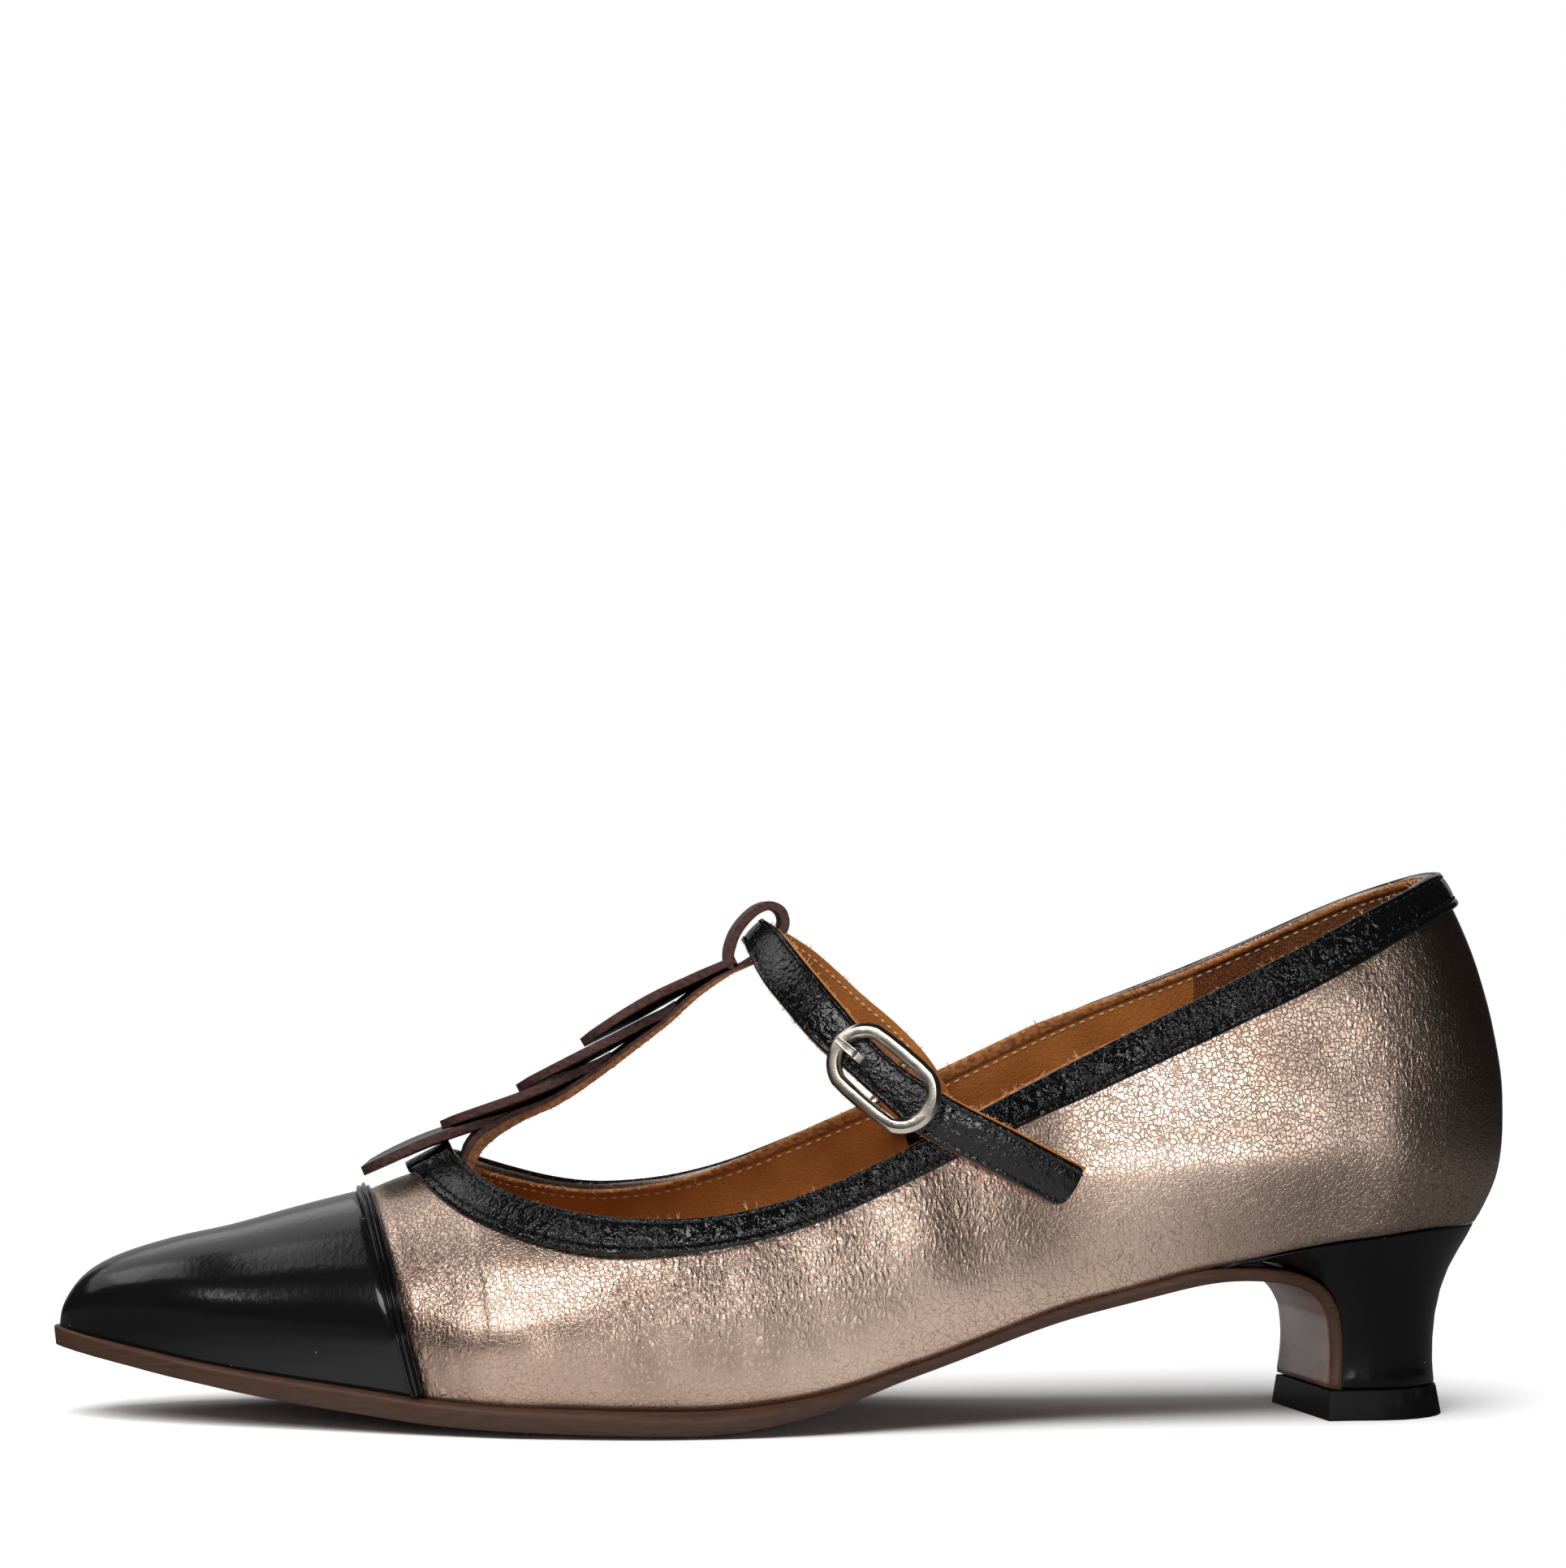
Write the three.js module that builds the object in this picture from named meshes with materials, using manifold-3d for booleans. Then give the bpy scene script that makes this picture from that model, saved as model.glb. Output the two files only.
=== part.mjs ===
// A woman's left T-bar pump with a low curved heel. Millimetres, +Z up, toe towards -X, outer side towards -Y.
// Places along the shoe are measured forward from the back of the heel and called "along".
import * as THREE from 'three';
import { mergeVertices } from 'three/addons/utils/BufferGeometryUtils.js';
import Module from 'manifold-3d';

// Driving dimensions
const length = 260.4;         // upper, back of heel to toe tip
const ballWidth = 75;         // feather edge at the ball
const instepHeight = 66;      // last above the feather at the instep
const seatHeight = 30.2;      // heel seat above the ball
const toeSpring = 10.9;       // toe feather above the ball
const backHeight = 62;        // counter above the heel seat
const wall = 1.8;             // upper leather and lining
const capStep = 0.9;          // how far the wall is thinned under the cap
const capLeather = 0.9;
const pipingBead = 1.7;
const trimWidth = 7.9;
const trimLeather = 1.2;
const lastingMargin = 8;
const soleEdge = 3.9;         // forepart edge of the outsole
const soleLedge = 0.9;        // outsole beyond the feather
const soleCrown = 1.7;        // how far the tread bellies below its edge
const flapLeather = 1.9;      // outsole leather down the heel breast
const insoleBoard = 2;
const insoleGap = 0.5;        // footbed to the wall
const liftHeight = 5.3;
const liftFlare = 1;
const liftStandOut = 0.3;     // top lift beyond the heel cover
const heelTurn = THREE.MathUtils.degToRad(7);
const barWidth = 10;          // T-bar
const barLeather = 1.5;
const loopWidth = 9;
const petalWidth = 17;
const petalLeather = 1.7;
const loopLift = 34.9;        // loop above the throat
const strapWidth = 8;
const strapLeather = 2.2;
const tabWidth = 7;
const tabLeather = 1.4;
const buckleLength = 22;
const buckleWidth = 13.2;
const buckleBand = 2.1;
const buckleMetal = 1.2;
const prongWidth = 1.5;
const prongMetal = 1;
const seam = 0.3;             // clearance between pieces that meet

// Rows give shares of the named sizes above.
const heelRound = 0.115;      // share of the length that rounds off at the heel
const toeRound = 0.086;
const throatAt = 0.7325;      // inner edge of the throat
const seamAt = 0.790;         // back edge of the toe cap at the ridge
const seamSweep = 0.036;      // how far that edge runs back towards the sole
const seamReach = 0.17;       // how far from that edge the sweep fades out
const beakAt = 0.219;         // front tip of the heel
const insoleRound = 0.93;     // where the footbed starts to round off, and ends
const insoleEnd = 0.962;
const belly = 0.24;           // share of a section below its widest place

// centre, ridge: of ballWidth. feather, widest: half widths, of half ballWidth.
// swell, crown: heights above the feather, of instepHeight. upright, flat: how boxy the shoulder is.
const lastSections = [
  { at: 0, centre: 0, ridge: 0, feather: 0.665, widest: 0.75, swell: 0.29, crown: 1.42, upright: 0.55, flat: 0.55 },
  { at: 0.1, centre: 0, ridge: 0, feather: 0.68, widest: 0.765, swell: 0.29, crown: 1.39, upright: 0.55, flat: 0.55 },
  { at: 0.19, centre: -0.01, ridge: 0, feather: 0.68, widest: 0.78, swell: 0.3, crown: 1.35, upright: 0.55, flat: 0.52 },
  { at: 0.31, centre: -0.027, ridge: 0, feather: 0.655, widest: 0.77, swell: 0.32, crown: 1.32, upright: 0.52, flat: 0.48 },
  { at: 0.42, centre: -0.053, ridge: 0, feather: 0.72, widest: 0.86, swell: 0.3, crown: 1.28, upright: 0.48, flat: 0.42 },
  { at: 0.5, centre: -0.047, ridge: 0.005, feather: 0.83, widest: 0.96, swell: 0.27, crown: 1.18, upright: 0.46, flat: 0.38 },
  { at: 0.577, centre: -0.025, ridge: 0.015, feather: 0.945, widest: 1.07, swell: 0.23, crown: 1.005, upright: 0.44, flat: 0.36 },
  { at: 0.63, centre: 0, ridge: 0.028, feather: 0.995, widest: 1.105, swell: 0.2, crown: 0.835, upright: 0.44, flat: 0.38 },
  { at: 0.69, centre: 0.026, ridge: 0.042, feather: 0.985, widest: 1.08, swell: 0.185, crown: 0.68, upright: 0.46, flat: 0.44 },
  { at: 0.732, centre: 0.045, ridge: 0.054, feather: 0.93, widest: 1.01, swell: 0.178, crown: 0.609, upright: 0.48, flat: 0.48 },
  { at: 0.787, centre: 0.062, ridge: 0.066, feather: 0.81, widest: 0.875, swell: 0.17, crown: 0.5, upright: 0.5, flat: 0.52 },
  { at: 0.828, centre: 0.073, ridge: 0.073, feather: 0.705, widest: 0.755, swell: 0.16, crown: 0.436, upright: 0.52, flat: 0.55 },
  { at: 0.9, centre: 0.087, ridge: 0.084, feather: 0.525, widest: 0.57, swell: 0.135, crown: 0.315, upright: 0.54, flat: 0.56 },
  { at: 0.955, centre: 0.093, ridge: 0.09, feather: 0.39, widest: 0.43, swell: 0.12, crown: 0.26, upright: 0.55, flat: 0.56 },
  { at: 1, centre: 0.093, ridge: 0.093, feather: 0.32, widest: 0.36, swell: 0.11, crown: 0.25, upright: 0.55, flat: 0.55 },
];
// heel: of seatHeight. spring: of toeSpring. edge: of soleEdge. ledge: of soleLedge. bow: of soleCrown.
const soleLine = [
  { at: 0, heel: 1, spring: 0, edge: 0.5, ledge: 0, bow: 0 },
  { at: 0.04, heel: 1, spring: 0, edge: 0.5, ledge: 0, bow: 0 },
  { at: 0.107, heel: 0.95, spring: 0, edge: 0.5, ledge: 0, bow: 0 },
  { at: 0.166, heel: 0.886, spring: 0, edge: 0.5, ledge: 0, bow: 0 },
  { at: 0.222, heel: 0.78, spring: 0, edge: 0.6, ledge: 0, bow: 0 },
  { at: 0.277, heel: 0.66, spring: 0, edge: 0.52, ledge: 0, bow: 0 },
  { at: 0.333, heel: 0.533, spring: 0, edge: 0.5, ledge: 0, bow: 0.1 },
  { at: 0.388, heel: 0.364, spring: 0, edge: 0.44, ledge: 0.1, bow: 0.2 },
  { at: 0.445, heel: 0.2, spring: 0, edge: 0.48, ledge: 0.4, bow: 0.4 },
  { at: 0.5, heel: 0.068, spring: 0, edge: 0.74, ledge: 0.8, bow: 0.7 },
  { at: 0.572, heel: 0.003, spring: 0, edge: 0.97, ledge: 1, bow: 1 },
  { at: 0.663, heel: 0, spring: 0.045, edge: 1, ledge: 1, bow: 1 },
  { at: 0.715, heel: 0, spring: 0.085, edge: 1, ledge: 1, bow: 1 },
  { at: 0.756, heel: 0, spring: 0.145, edge: 1, ledge: 1, bow: 0.95 },
  { at: 0.795, heel: 0, spring: 0.255, edge: 1, ledge: 1, bow: 0.8 },
  { at: 0.876, heel: 0, spring: 0.475, edge: 0.9, ledge: 1, bow: 0.5 },
  { at: 0.959, heel: 0, spring: 0.82, edge: 0.78, ledge: 1, bow: 0.2 },
  { at: 1, heel: 0, spring: 1, edge: 0.72, ledge: 1, bow: 0 },
];
// Lean of the back seam: rise of backHeight, along of length.
const backSeam = [
  { at: 0, lean: 0.0217 },
  { at: 0.055, lean: 0.0125 },
  { at: 0.14, lean: 0.0069 },
  { at: 0.26, lean: 0.0035 },
  { at: 0.38, lean: 0.0031 },
  { at: 0.5, lean: 0.0062 },
  { at: 0.64, lean: 0.0139 },
  { at: 0.8, lean: 0.0267 },
  { at: 0.91, lean: 0.0387 },
  { at: 1.02, lean: 0.0537 },
  { at: 1.4, lean: 0.0777 },
];
// Collar edge above the ball feather, of seatHeight plus backHeight, on the outer and the inner side.
const collar = [
  { at: 0.045, outer: 1.011, inner: 1.011 },
  { at: 0.054, outer: 1.007, inner: 1.007 },
  { at: 0.064, outer: 1.001, inner: 0.994 },
  { at: 0.1, outer: 0.959, inner: 0.95 },
  { at: 0.162, outer: 0.87, inner: 0.87 },
  { at: 0.221, outer: 0.788, inner: 0.8 },
  { at: 0.278, outer: 0.71, inner: 0.739 },
  { at: 0.334, outer: 0.632, inner: 0.669 },
  { at: 0.392, outer: 0.551, inner: 0.589 },
  { at: 0.447, outer: 0.473, inner: 0.522 },
  { at: 0.513, outer: 0.394, inner: 0.444 },
  { at: 0.545, outer: 0.37, inner: 0.408 },
  { at: 0.577, outer: 0.355, inner: 0.385 },
  { at: 0.609, outer: 0.35, inner: 0.371 },
  { at: 0.64, outer: 0.353, inner: 0.374 },
  { at: 0.668, outer: 0.364, inner: 0.387 },
  { at: 0.692, outer: 0.381, inner: 0.406 },
  { at: 0.7095, outer: 0.4, inner: 0.422 },
  { at: 0.7325, outer: 0.4475, inner: 0.4475 },
];
// Width of the binding, of trimWidth.
const trimLine = [
  { at: 0, band: 0.86 },
  { at: 0.06, band: 0.86 },
  { at: 0.135, band: 0.94 },
  { at: 0.24, band: 0.9 },
  { at: 0.31, band: 0.84 },
  { at: 0.379, band: 0.7 },
  { at: 0.457, band: 0.66 },
  { at: 0.553, band: 0.7 },
  { at: 0.61, band: 0.86 },
  { at: 0.69, band: 1 },
  { at: 0.7325, band: 1 },
];
// Heel rings from the top lift to the seat: at is the share of the heel's height. back, front, round: of length.
// half, nose: half widths at the side and at the breast, of half ballWidth. rise: height of the breast edge.
const heelRings = [
  { at: 0, back: 0.0502, front: 0.1345, rise: 0, round: 0.055, half: 0.392, nose: 0.375 },
  { at: 0.14, back: 0.0511, front: 0.1335, rise: 0.14, round: 0.056, half: 0.383, nose: 0.368 },
  { at: 0.28, back: 0.0507, front: 0.133, rise: 0.28, round: 0.058, half: 0.388, nose: 0.37 },
  { at: 0.43, back: 0.0489, front: 0.1345, rise: 0.425, round: 0.062, half: 0.407, nose: 0.384 },
  { at: 0.58, back: 0.0452, front: 0.1405, rise: 0.56, round: 0.068, half: 0.445, nose: 0.418 },
  { at: 0.71, back: 0.0399, front: 0.152, rise: 0.663, round: 0.076, half: 0.5, nose: 0.474 },
  { at: 0.82, back: 0.0335, front: 0.1685, rise: 0.727, round: 0.085, half: 0.565, nose: 0.545 },
  { at: 0.92, back: 0.0271, front: 0.19, rise: 0.76, round: 0.093, half: 0.63, nose: 0.61 },
  { at: 1, back: 0.0227, front: 0.219, rise: 0.77, round: 0.1, half: 0.672, nose: 0.66 },
];

const leatherColours = {
  metallic: 0xb99681,
  patent: 0x0b0b0d,
  sole: 0x5a3226,
  lining: 0xb87a42,
  brown: 0x3a2622,
  rubber: 0x1b1b1a,
  silver: 0x9a938a,
};

// Smooth curve through the rows of a table, without overshoot.
function column(rows, name) {
  const x = rows.map((row) => row.at);
  const y = rows.map((row) => row[name]);
  const slopes = x.slice(1).map((value, i) => (y[i + 1] - y[i]) / (value - x[i]));
  const tangents = x.map((_, i) => {
    if (i === 0) return slopes[0];
    if (i === x.length - 1) return slopes[i - 1];
    const product = slopes[i - 1] * slopes[i];
    return product <= 0 ? 0 : (2 * product) / (slopes[i - 1] + slopes[i]);
  });
  return (value) => {
    const clamped = THREE.MathUtils.clamp(value, x[0], x[x.length - 1]);
    let i = 0;
    while (i < x.length - 2 && clamped > x[i + 1]) i += 1;
    const span = x[i + 1] - x[i];
    const k = (clamped - x[i]) / span;
    const start = (1 + 2 * k) * (1 - k) ** 2 * y[i] + k * (1 - k) ** 2 * span * tangents[i];
    const end = k * k * (3 - 2 * k) * y[i + 1] + k * k * (k - 1) * span * tangents[i + 1];
    return start + end;
  };
}

const readTable = (rows) => {
  const names = Object.keys(rows[0]).filter((name) => name !== 'at');
  return Object.fromEntries(names.map((name) => [name, column(rows, name)]));
};
const section = readTable(lastSections);
const line = readTable(soleLine);
const lean = readTable(backSeam).lean;
const collarEdge = readTable(collar);
const ring = readTable(heelRings);
const trimBand = readTable(trimLine).band;

const point = (along, y, z) => new THREE.Vector3(-along, y, z);
const mix = THREE.MathUtils.lerp;
const ease = (value) => THREE.MathUtils.smoothstep(value, 0, 1);

// Height of the feather edge above the floor.
const ballFeather = soleEdge + seam + 0.5;
const featherHeight = (t) => ballFeather + seatHeight * line.heel(t) + toeSpring * line.spring(t);

// How much of the back seam's lean a place along the last still has.
const leanFade = (t) => Math.max(0, 1 - t / 0.3) ** 2;

// How much of the full width a place along the last has, where the ends round off.
function roundOff(t) {
  const back = Math.max(0, 1 - t / heelRound);
  const front = Math.max(0, 1 - (1 - t) / toeRound);
  return Math.sqrt(Math.max(0, 1 - back * back)) * Math.sqrt(Math.max(0, 1 - front * front));
}

// A station runs from 0 at the back seam to 1 at the toe tip, closer together where the ends round off.
const heelStations = 0.2;
const toeStations = 0.16;
function placeOf(station) {
  const middle = 1 - heelRound - toeRound;
  if (station < heelStations) return heelRound * (1 - Math.cos((station / heelStations) * Math.PI / 2));
  if (station > 1 - toeStations) return 1 - toeRound * (1 - Math.cos(((1 - station) / toeStations) * Math.PI / 2));
  return heelRound + (middle * (station - heelStations)) / (1 - heelStations - toeStations);
}
function stationOf(t) {
  const middle = 1 - heelRound - toeRound;
  if (t < heelRound) return heelStations * Math.acos(1 - t / heelRound) / (Math.PI / 2);
  if (t > 1 - toeRound) return 1 - toeStations * Math.acos(1 - (1 - t) / toeRound) / (Math.PI / 2);
  return heelStations + ((t - heelRound) * (1 - heelStations - toeStations)) / middle;
}

// Near the toe cap the stations sweep back towards the sole, as the cap's edge does.
// up is 0 at the feather and 1 at the ridge.
function placeAt(station, up) {
  const reach = Math.min(1, Math.abs(placeOf(station) - seamAt) / seamReach);
  return placeOf(station) - seamSweep * (1 - up) ** 1.5 * (1 - reach * reach) ** 2;
}
// Outer surface of the upper. side is -1 outside and 1 inside.
function last(station, up, side) {
  const t = placeAt(station, up);
  const full = roundOff(t);
  const low = featherHeight(t);
  const toe = t > 0.5 ? full : 1;
  const swell = instepHeight * section.swell(t) * toe;
  const crown = instepHeight * section.crown(t) * toe;
  const centre = ballWidth * section.centre(t);
  const ridge = ballWidth * section.ridge(t);
  const foot = centre + side * ballWidth * 0.5 * section.feather(t) * full;
  const wide = centre + side * ballWidth * 0.5 * section.widest(t) * full;
  let y;
  let z;
  if (up < belly) {
    const k = up / belly;
    y = mix(wide, foot, (1 - k) ** 2);
    z = low + swell * k;
  } else {
    const k = (up - belly) / (1 - belly);
    const weights = [(1 - k) ** 3, 3 * k * (1 - k) ** 2, 3 * k * k * (1 - k), k ** 3];
    const ys = [wide, wide, mix(ridge, wide, section.flat(t)), ridge];
    const zs = [swell, mix(swell, crown, section.upright(t)), crown, crown];
    y = weights.reduce((sum, weight, i) => sum + weight * ys[i], 0);
    z = low + weights.reduce((sum, weight, i) => sum + weight * zs[i], 0);
  }
  const along = length * (t + lean((z - low) / backHeight) * leanFade(t));
  return point(along, y, z);
}

// Unit normal of that surface, pointing out.
function lastNormal(station, up, side) {
  if (station > 0.9995) return new THREE.Vector3(-1, 0, 0);
  const d = 1e-4;
  const s0 = Math.max(0, station - d);
  const u0 = Math.max(0, up - d * 10);
  const u1 = Math.min(1, up + d * 10);
  const across = last(Math.min(1, station + d), up, side).sub(last(s0, up, side));
  const upwards = last(station, u1, side).sub(last(station, u0, side));
  if (station <= 0) across.set(0, side, 0);
  if (up >= 1) upwards.set(0, -side, 0);
  const normal = across.cross(upwards).normalize();
  return side < 0 ? normal.negate() : normal;
}

// A point of the last moved out by a distance along the normal. At the feather it moves level.
function offLast(station, up, side, distance) {
  const normal = lastNormal(station, up, side);
  if (up <= 0) normal.setZ(0).normalize();
  return last(station, up, side).addScaledVector(normal, distance);
}

// Height of the underside of the last at a place along the shoe, with the lean of the back seam taken off.
function underLast(along) {
  let t = along / length;
  for (let i = 0; i < 6; i += 1) t = along / length - lean(0) * leanFade(t);
  return featherHeight(t);
}

// Feather edge moved in or out along the underside of the last, and then up or down.
function offFeather(station, side, distance, rise) {
  const place = offLast(station, 0, side, distance);
  return place.setZ(underLast(-place.x) + rise);
}

// Where the collar cuts a section, found by halving.
function collarUp(station, side) {
  if (placeOf(station) >= throatAt) return 1;
  const edge = side < 0 || station <= 0 ? collarEdge.outer : collarEdge.inner;
  let low = 0.1;
  let high = 1;
  for (let i = 0; i < 40; i += 1) {
    const middle = (low + high) / 2;
    const place = last(station, middle, side);
    const target = ballFeather + (seatHeight + backHeight) * edge(-place.x / length);
    if (place.z < target) low = middle;
    else high = middle;
  }
  return (low + high) / 2;
}

// Triangles between rows of points, welded. Each row is a list of points of one length.
class Skin {
  constructor() {
    this.positions = [];
    this.index = [];
    this.known = new Map();
  }

  vertex(p) {
    const key = [p.x, p.y, p.z].map((value) => Math.floor(value * 500 + 0.3)).join();
    if (!this.known.has(key)) {
      this.known.set(key, this.positions.length / 3);
      this.positions.push(p.x, p.y, p.z);
    }
    return this.known.get(key);
  }

  face(a, b, c) {
    const ids = [a, b, c].map((p) => this.vertex(p));
    if (new Set(ids).size === 3) this.index.push(...ids);
  }

  quad(a, b, c, d) {
    this.face(a, b, c);
    this.face(a, c, d);
  }

  strip(rowA, rowB) {
    for (let i = 0; i < rowA.length - 1; i += 1) this.quad(rowA[i], rowA[i + 1], rowB[i + 1], rowB[i]);
  }

  cap(points, reversed) {
    if (new Set(points.map((p) => this.vertex(p))).size < 3) return;
    const middle = points.reduce((sum, p) => sum.add(p), new THREE.Vector3()).divideScalar(points.length);
    points.forEach((p, i) => {
      const next = points[(i + 1) % points.length];
      if (reversed) this.face(middle, next, p);
      else this.face(middle, p, next);
    });
  }

  geometry() {
    const corner = (i) => new THREE.Vector3().fromArray(this.positions, this.index[i] * 3);
    let volume = 0;
    for (let i = 0; i < this.index.length; i += 3) {
      volume += corner(i).dot(corner(i + 1).cross(corner(i + 2)));
    }
    if (volume < 0) this.index.reverse();
    const geometry = new THREE.BufferGeometry();
    geometry.setAttribute('position', new THREE.Float32BufferAttribute(this.positions, 3));
    geometry.setIndex(this.index);
    geometry.computeVertexNormals();
    return geometry;
  }
}

// Closed rings joined one after the other. Ends are capped unless the rings run round in a loop.
function loft(rings, loop = false) {
  const skin = new Skin();
  const closed = rings.map((points) => [...points, points[0]]);
  const count = loop ? closed.length : closed.length - 1;
  for (let i = 0; i < count; i += 1) skin.strip(closed[i], closed[(i + 1) % closed.length]);
  if (!loop) {
    skin.cap(rings[0], true);
    skin.cap(rings[rings.length - 1], false);
  }
  return skin.geometry();
}

const steps = (count, from = 0, to = 1) => Array.from({ length: count + 1 }, (_, i) => mix(from, to, i / count));
const sides = [-1, 1];

const shoe = new THREE.Group();
function add(name, geometry, finish) {
  const mesh = new THREE.Mesh(geometry, new THREE.MeshStandardMaterial(finish));
  mesh.name = name;
  shoe.add(mesh);
  return mesh;
}

// Stations of the upper: even along the quarters, close together at the throat, on both lips of the cap seam.
const throatStation = stationOf(throatAt);
const seamStation = stationOf(seamAt);
const lip = 0.0006;
const quarterStations = steps(8, 0, heelStations);
const sideStations = steps(12, heelStations, stationOf(0.62)).slice(1);
const throatRun = throatStation - stationOf(0.62);
const throatStations = steps(8).slice(1).map((k) => throatStation - throatRun * (1 - k) ** 2);
const vampStations = [throatStation + (seamStation - throatStation) * 0.4, seamStation - lip];
const toeStart = [seamStation + lip, ...steps(5, seamStation, 1 - toeStations).slice(1)];
const toeEnd = steps(6, 1 - toeStations, 1).slice(1);
const upperStations = [...quarterStations, ...sideStations, ...throatStations, ...vampStations, ...toeStart, ...toeEnd];

const marginAt = (t) => lastingMargin * (1 - 0.6 * ease((t - 0.8) / 0.15));

// Half of one section of the upper, from the collar or ridge down, under the foot and back up inside.
function upperRow(station, side) {
  const t = placeOf(station);
  const top = collarUp(station, side);
  const heights = [...steps(6, top, belly), ...steps(3, belly, 0).slice(1)];
  const thin = station > seamStation ? capStep : 0;
  const outer = heights.map((up) => offLast(station, up, side, -thin));
  const margin = thin + marginAt(t);
  const under = [0.5, 1].map((k) => offFeather(station, side, -margin * k, 0));
  const over = [1, 0.5].map((k) => offFeather(station, side, -margin * k, wall - thin));
  const inner = heights.slice(0, -1).map((up) => offLast(station, up, side, -wall));
  const corner = offFeather(station, side, -thin - 0.75 * (wall - thin), wall - thin);
  return [...outer, ...under, ...over, corner, ...inner.reverse()];
}

function upperGeometry() {
  const skin = new Skin();
  const open = upperStations.filter((station) => placeOf(station) < throatAt - 1e-6).length;
  sides.forEach((side) => {
    const rows = upperStations.map((station) => upperRow(station, side));
    const ordered = side < 0 ? rows : rows.map((row) => [...row].reverse());
    for (let i = 0; i < rows.length - 1; i += 1) {
      skin.strip(ordered[i], ordered[i + 1]);
      if (i < open) {
        const ends = side < 0 ? [ordered[i].length - 1, 0] : [ordered[i].length - 1, 0];
        skin.strip(ends.map((end) => ordered[i][end]), ends.map((end) => ordered[i + 1][end]));
      }
    }
  });
  return skin.geometry();
}
add('upper', upperGeometry(), { color: leatherColours.metallic, roughness: 0.38, metalness: 0.75 });

// Footbed inside the wall, on the turned margin.
function insoleGeometry() {
  const back = steps(8, 0.015, heelStations);
  const middle = steps(20, heelStations, stationOf(insoleRound)).slice(1);
  const front = steps(7).slice(1).map((k) => stationOf(mix(insoleRound, insoleEnd, Math.sin((k * Math.PI) / 2))));
  const rings = [...back, ...middle, ...front].map((station) => {
    const t = placeOf(station);
    const k = Math.max(0, (t - insoleRound) / (insoleEnd - insoleRound));
    const inset = mix(wall + insoleGap, ballWidth * 0.12, 1 - Math.sqrt(1 - k * k));
    const edge = (side, rise) => offFeather(station, side, -inset, wall + seam + rise);
    const corners = [edge(-1, 0), edge(1, 0), edge(1, insoleBoard), edge(-1, insoleBoard)];
    return corners;
  });
  return loft(rings);
}
add('insole', insoleGeometry(), { color: leatherColours.lining, roughness: 0.6, metalness: 0 });

// Turns a place of the heel about the heel's own axis, as the breast and lift are turned, less towards the seat.
const heelCentre = length * 0.092;
function turnHeel(along, y, z, rise) {
  const angle = heelTurn * (1 - rise * rise);
  const forward = along - heelCentre;
  return point(
    heelCentre + forward * Math.cos(angle) + y * Math.sin(angle),
    y * Math.cos(angle) - forward * Math.sin(angle),
    z,
  );
}

// Top face of the heel, just under the upper.
const seatFace = (along) => underLast(along) - seam;
const heelBase = liftHeight + seam;
const heelRise = featherHeight(0) - seam - heelBase;

// Outline of a heel ring from the outer breast corner round the back to the inner one.
function heelOutline(rise, grow) {
  const back = length * ring.back(rise) - grow;
  const front = length * ring.front(rise);
  const round = length * ring.round(rise) + grow;
  const half = ballWidth * 0.5 * ring.half(rise) + grow;
  const nose = ballWidth * 0.5 * ring.nose(rise) + grow;
  const straight = steps(3, 0, 1).slice(0, -1).map((k) => [mix(front, back + round, k), mix(nose, half, k)]);
  const curve = steps(7, 0, 1).map((k) => {
    const angle = (k * Math.PI) / 2;
    return [back + round * (1 - Math.sin(angle)), half * Math.cos(angle)];
  });
  const outer = [...straight, ...curve].map(([along, y]) => [along, -y]);
  const inner = [...straight, ...curve].slice(0, -1).map(([along, y]) => [along, y]).reverse();
  return [...outer, ...inner];
}

function heelGeometry() {
  const rises = [0, 0.07, 0.14, 0.28, 0.43, 0.58, 0.71, 0.82, 0.92, 0.97, 1];
  const rings = rises.map((rise) => {
    const back = length * ring.back(rise);
    const front = length * ring.front(rise);
    const backZ = heelBase + heelRise * rise;
    const frontZ = heelBase + heelRise * ring.rise(rise);
    const topBack = seatFace(length * ring.back(1));
    const topFront = seatFace(length * ring.front(1));
    return heelOutline(rise, 0).map(([along, y]) => {
      const level = mix(backZ, frontZ, (along - back) / (front - back));
      const straightTop = mix(topBack, topFront, (along - back) / (front - back));
      const z = level + rise ** 4 * (seatFace(along) - straightTop);
      const centre = ballWidth * section.centre(along / length) * rise;
      return turnHeel(along, y + centre, z, rise);
    });
  });
  return loft(rings);
}
add('heel', heelGeometry(), { color: leatherColours.patent, roughness: 0.12, metalness: 0 });

function liftGeometry() {
  const levels = [0, liftHeight * 0.5, liftHeight];
  const rings = levels.map((z) => {
    const grow = liftStandOut + liftFlare * (1 - z / liftHeight);
    const front = length * ring.front(0);
    return heelOutline(0, grow).map(([along, y]) => {
      const breast = Math.abs(along - front) < 1e-6 ? seam + flapLeather + grow * 0.5 : 0;
      return turnHeel(along + breast, y, z, 0);
    });
  });
  return loft(rings);
}
add('top_lift', liftGeometry(), { color: leatherColours.rubber, roughness: 0.75, metalness: 0 });

// Across the tread from the outer to the inner edge.
const treadPlaces = steps(8, -1, 1);

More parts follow.
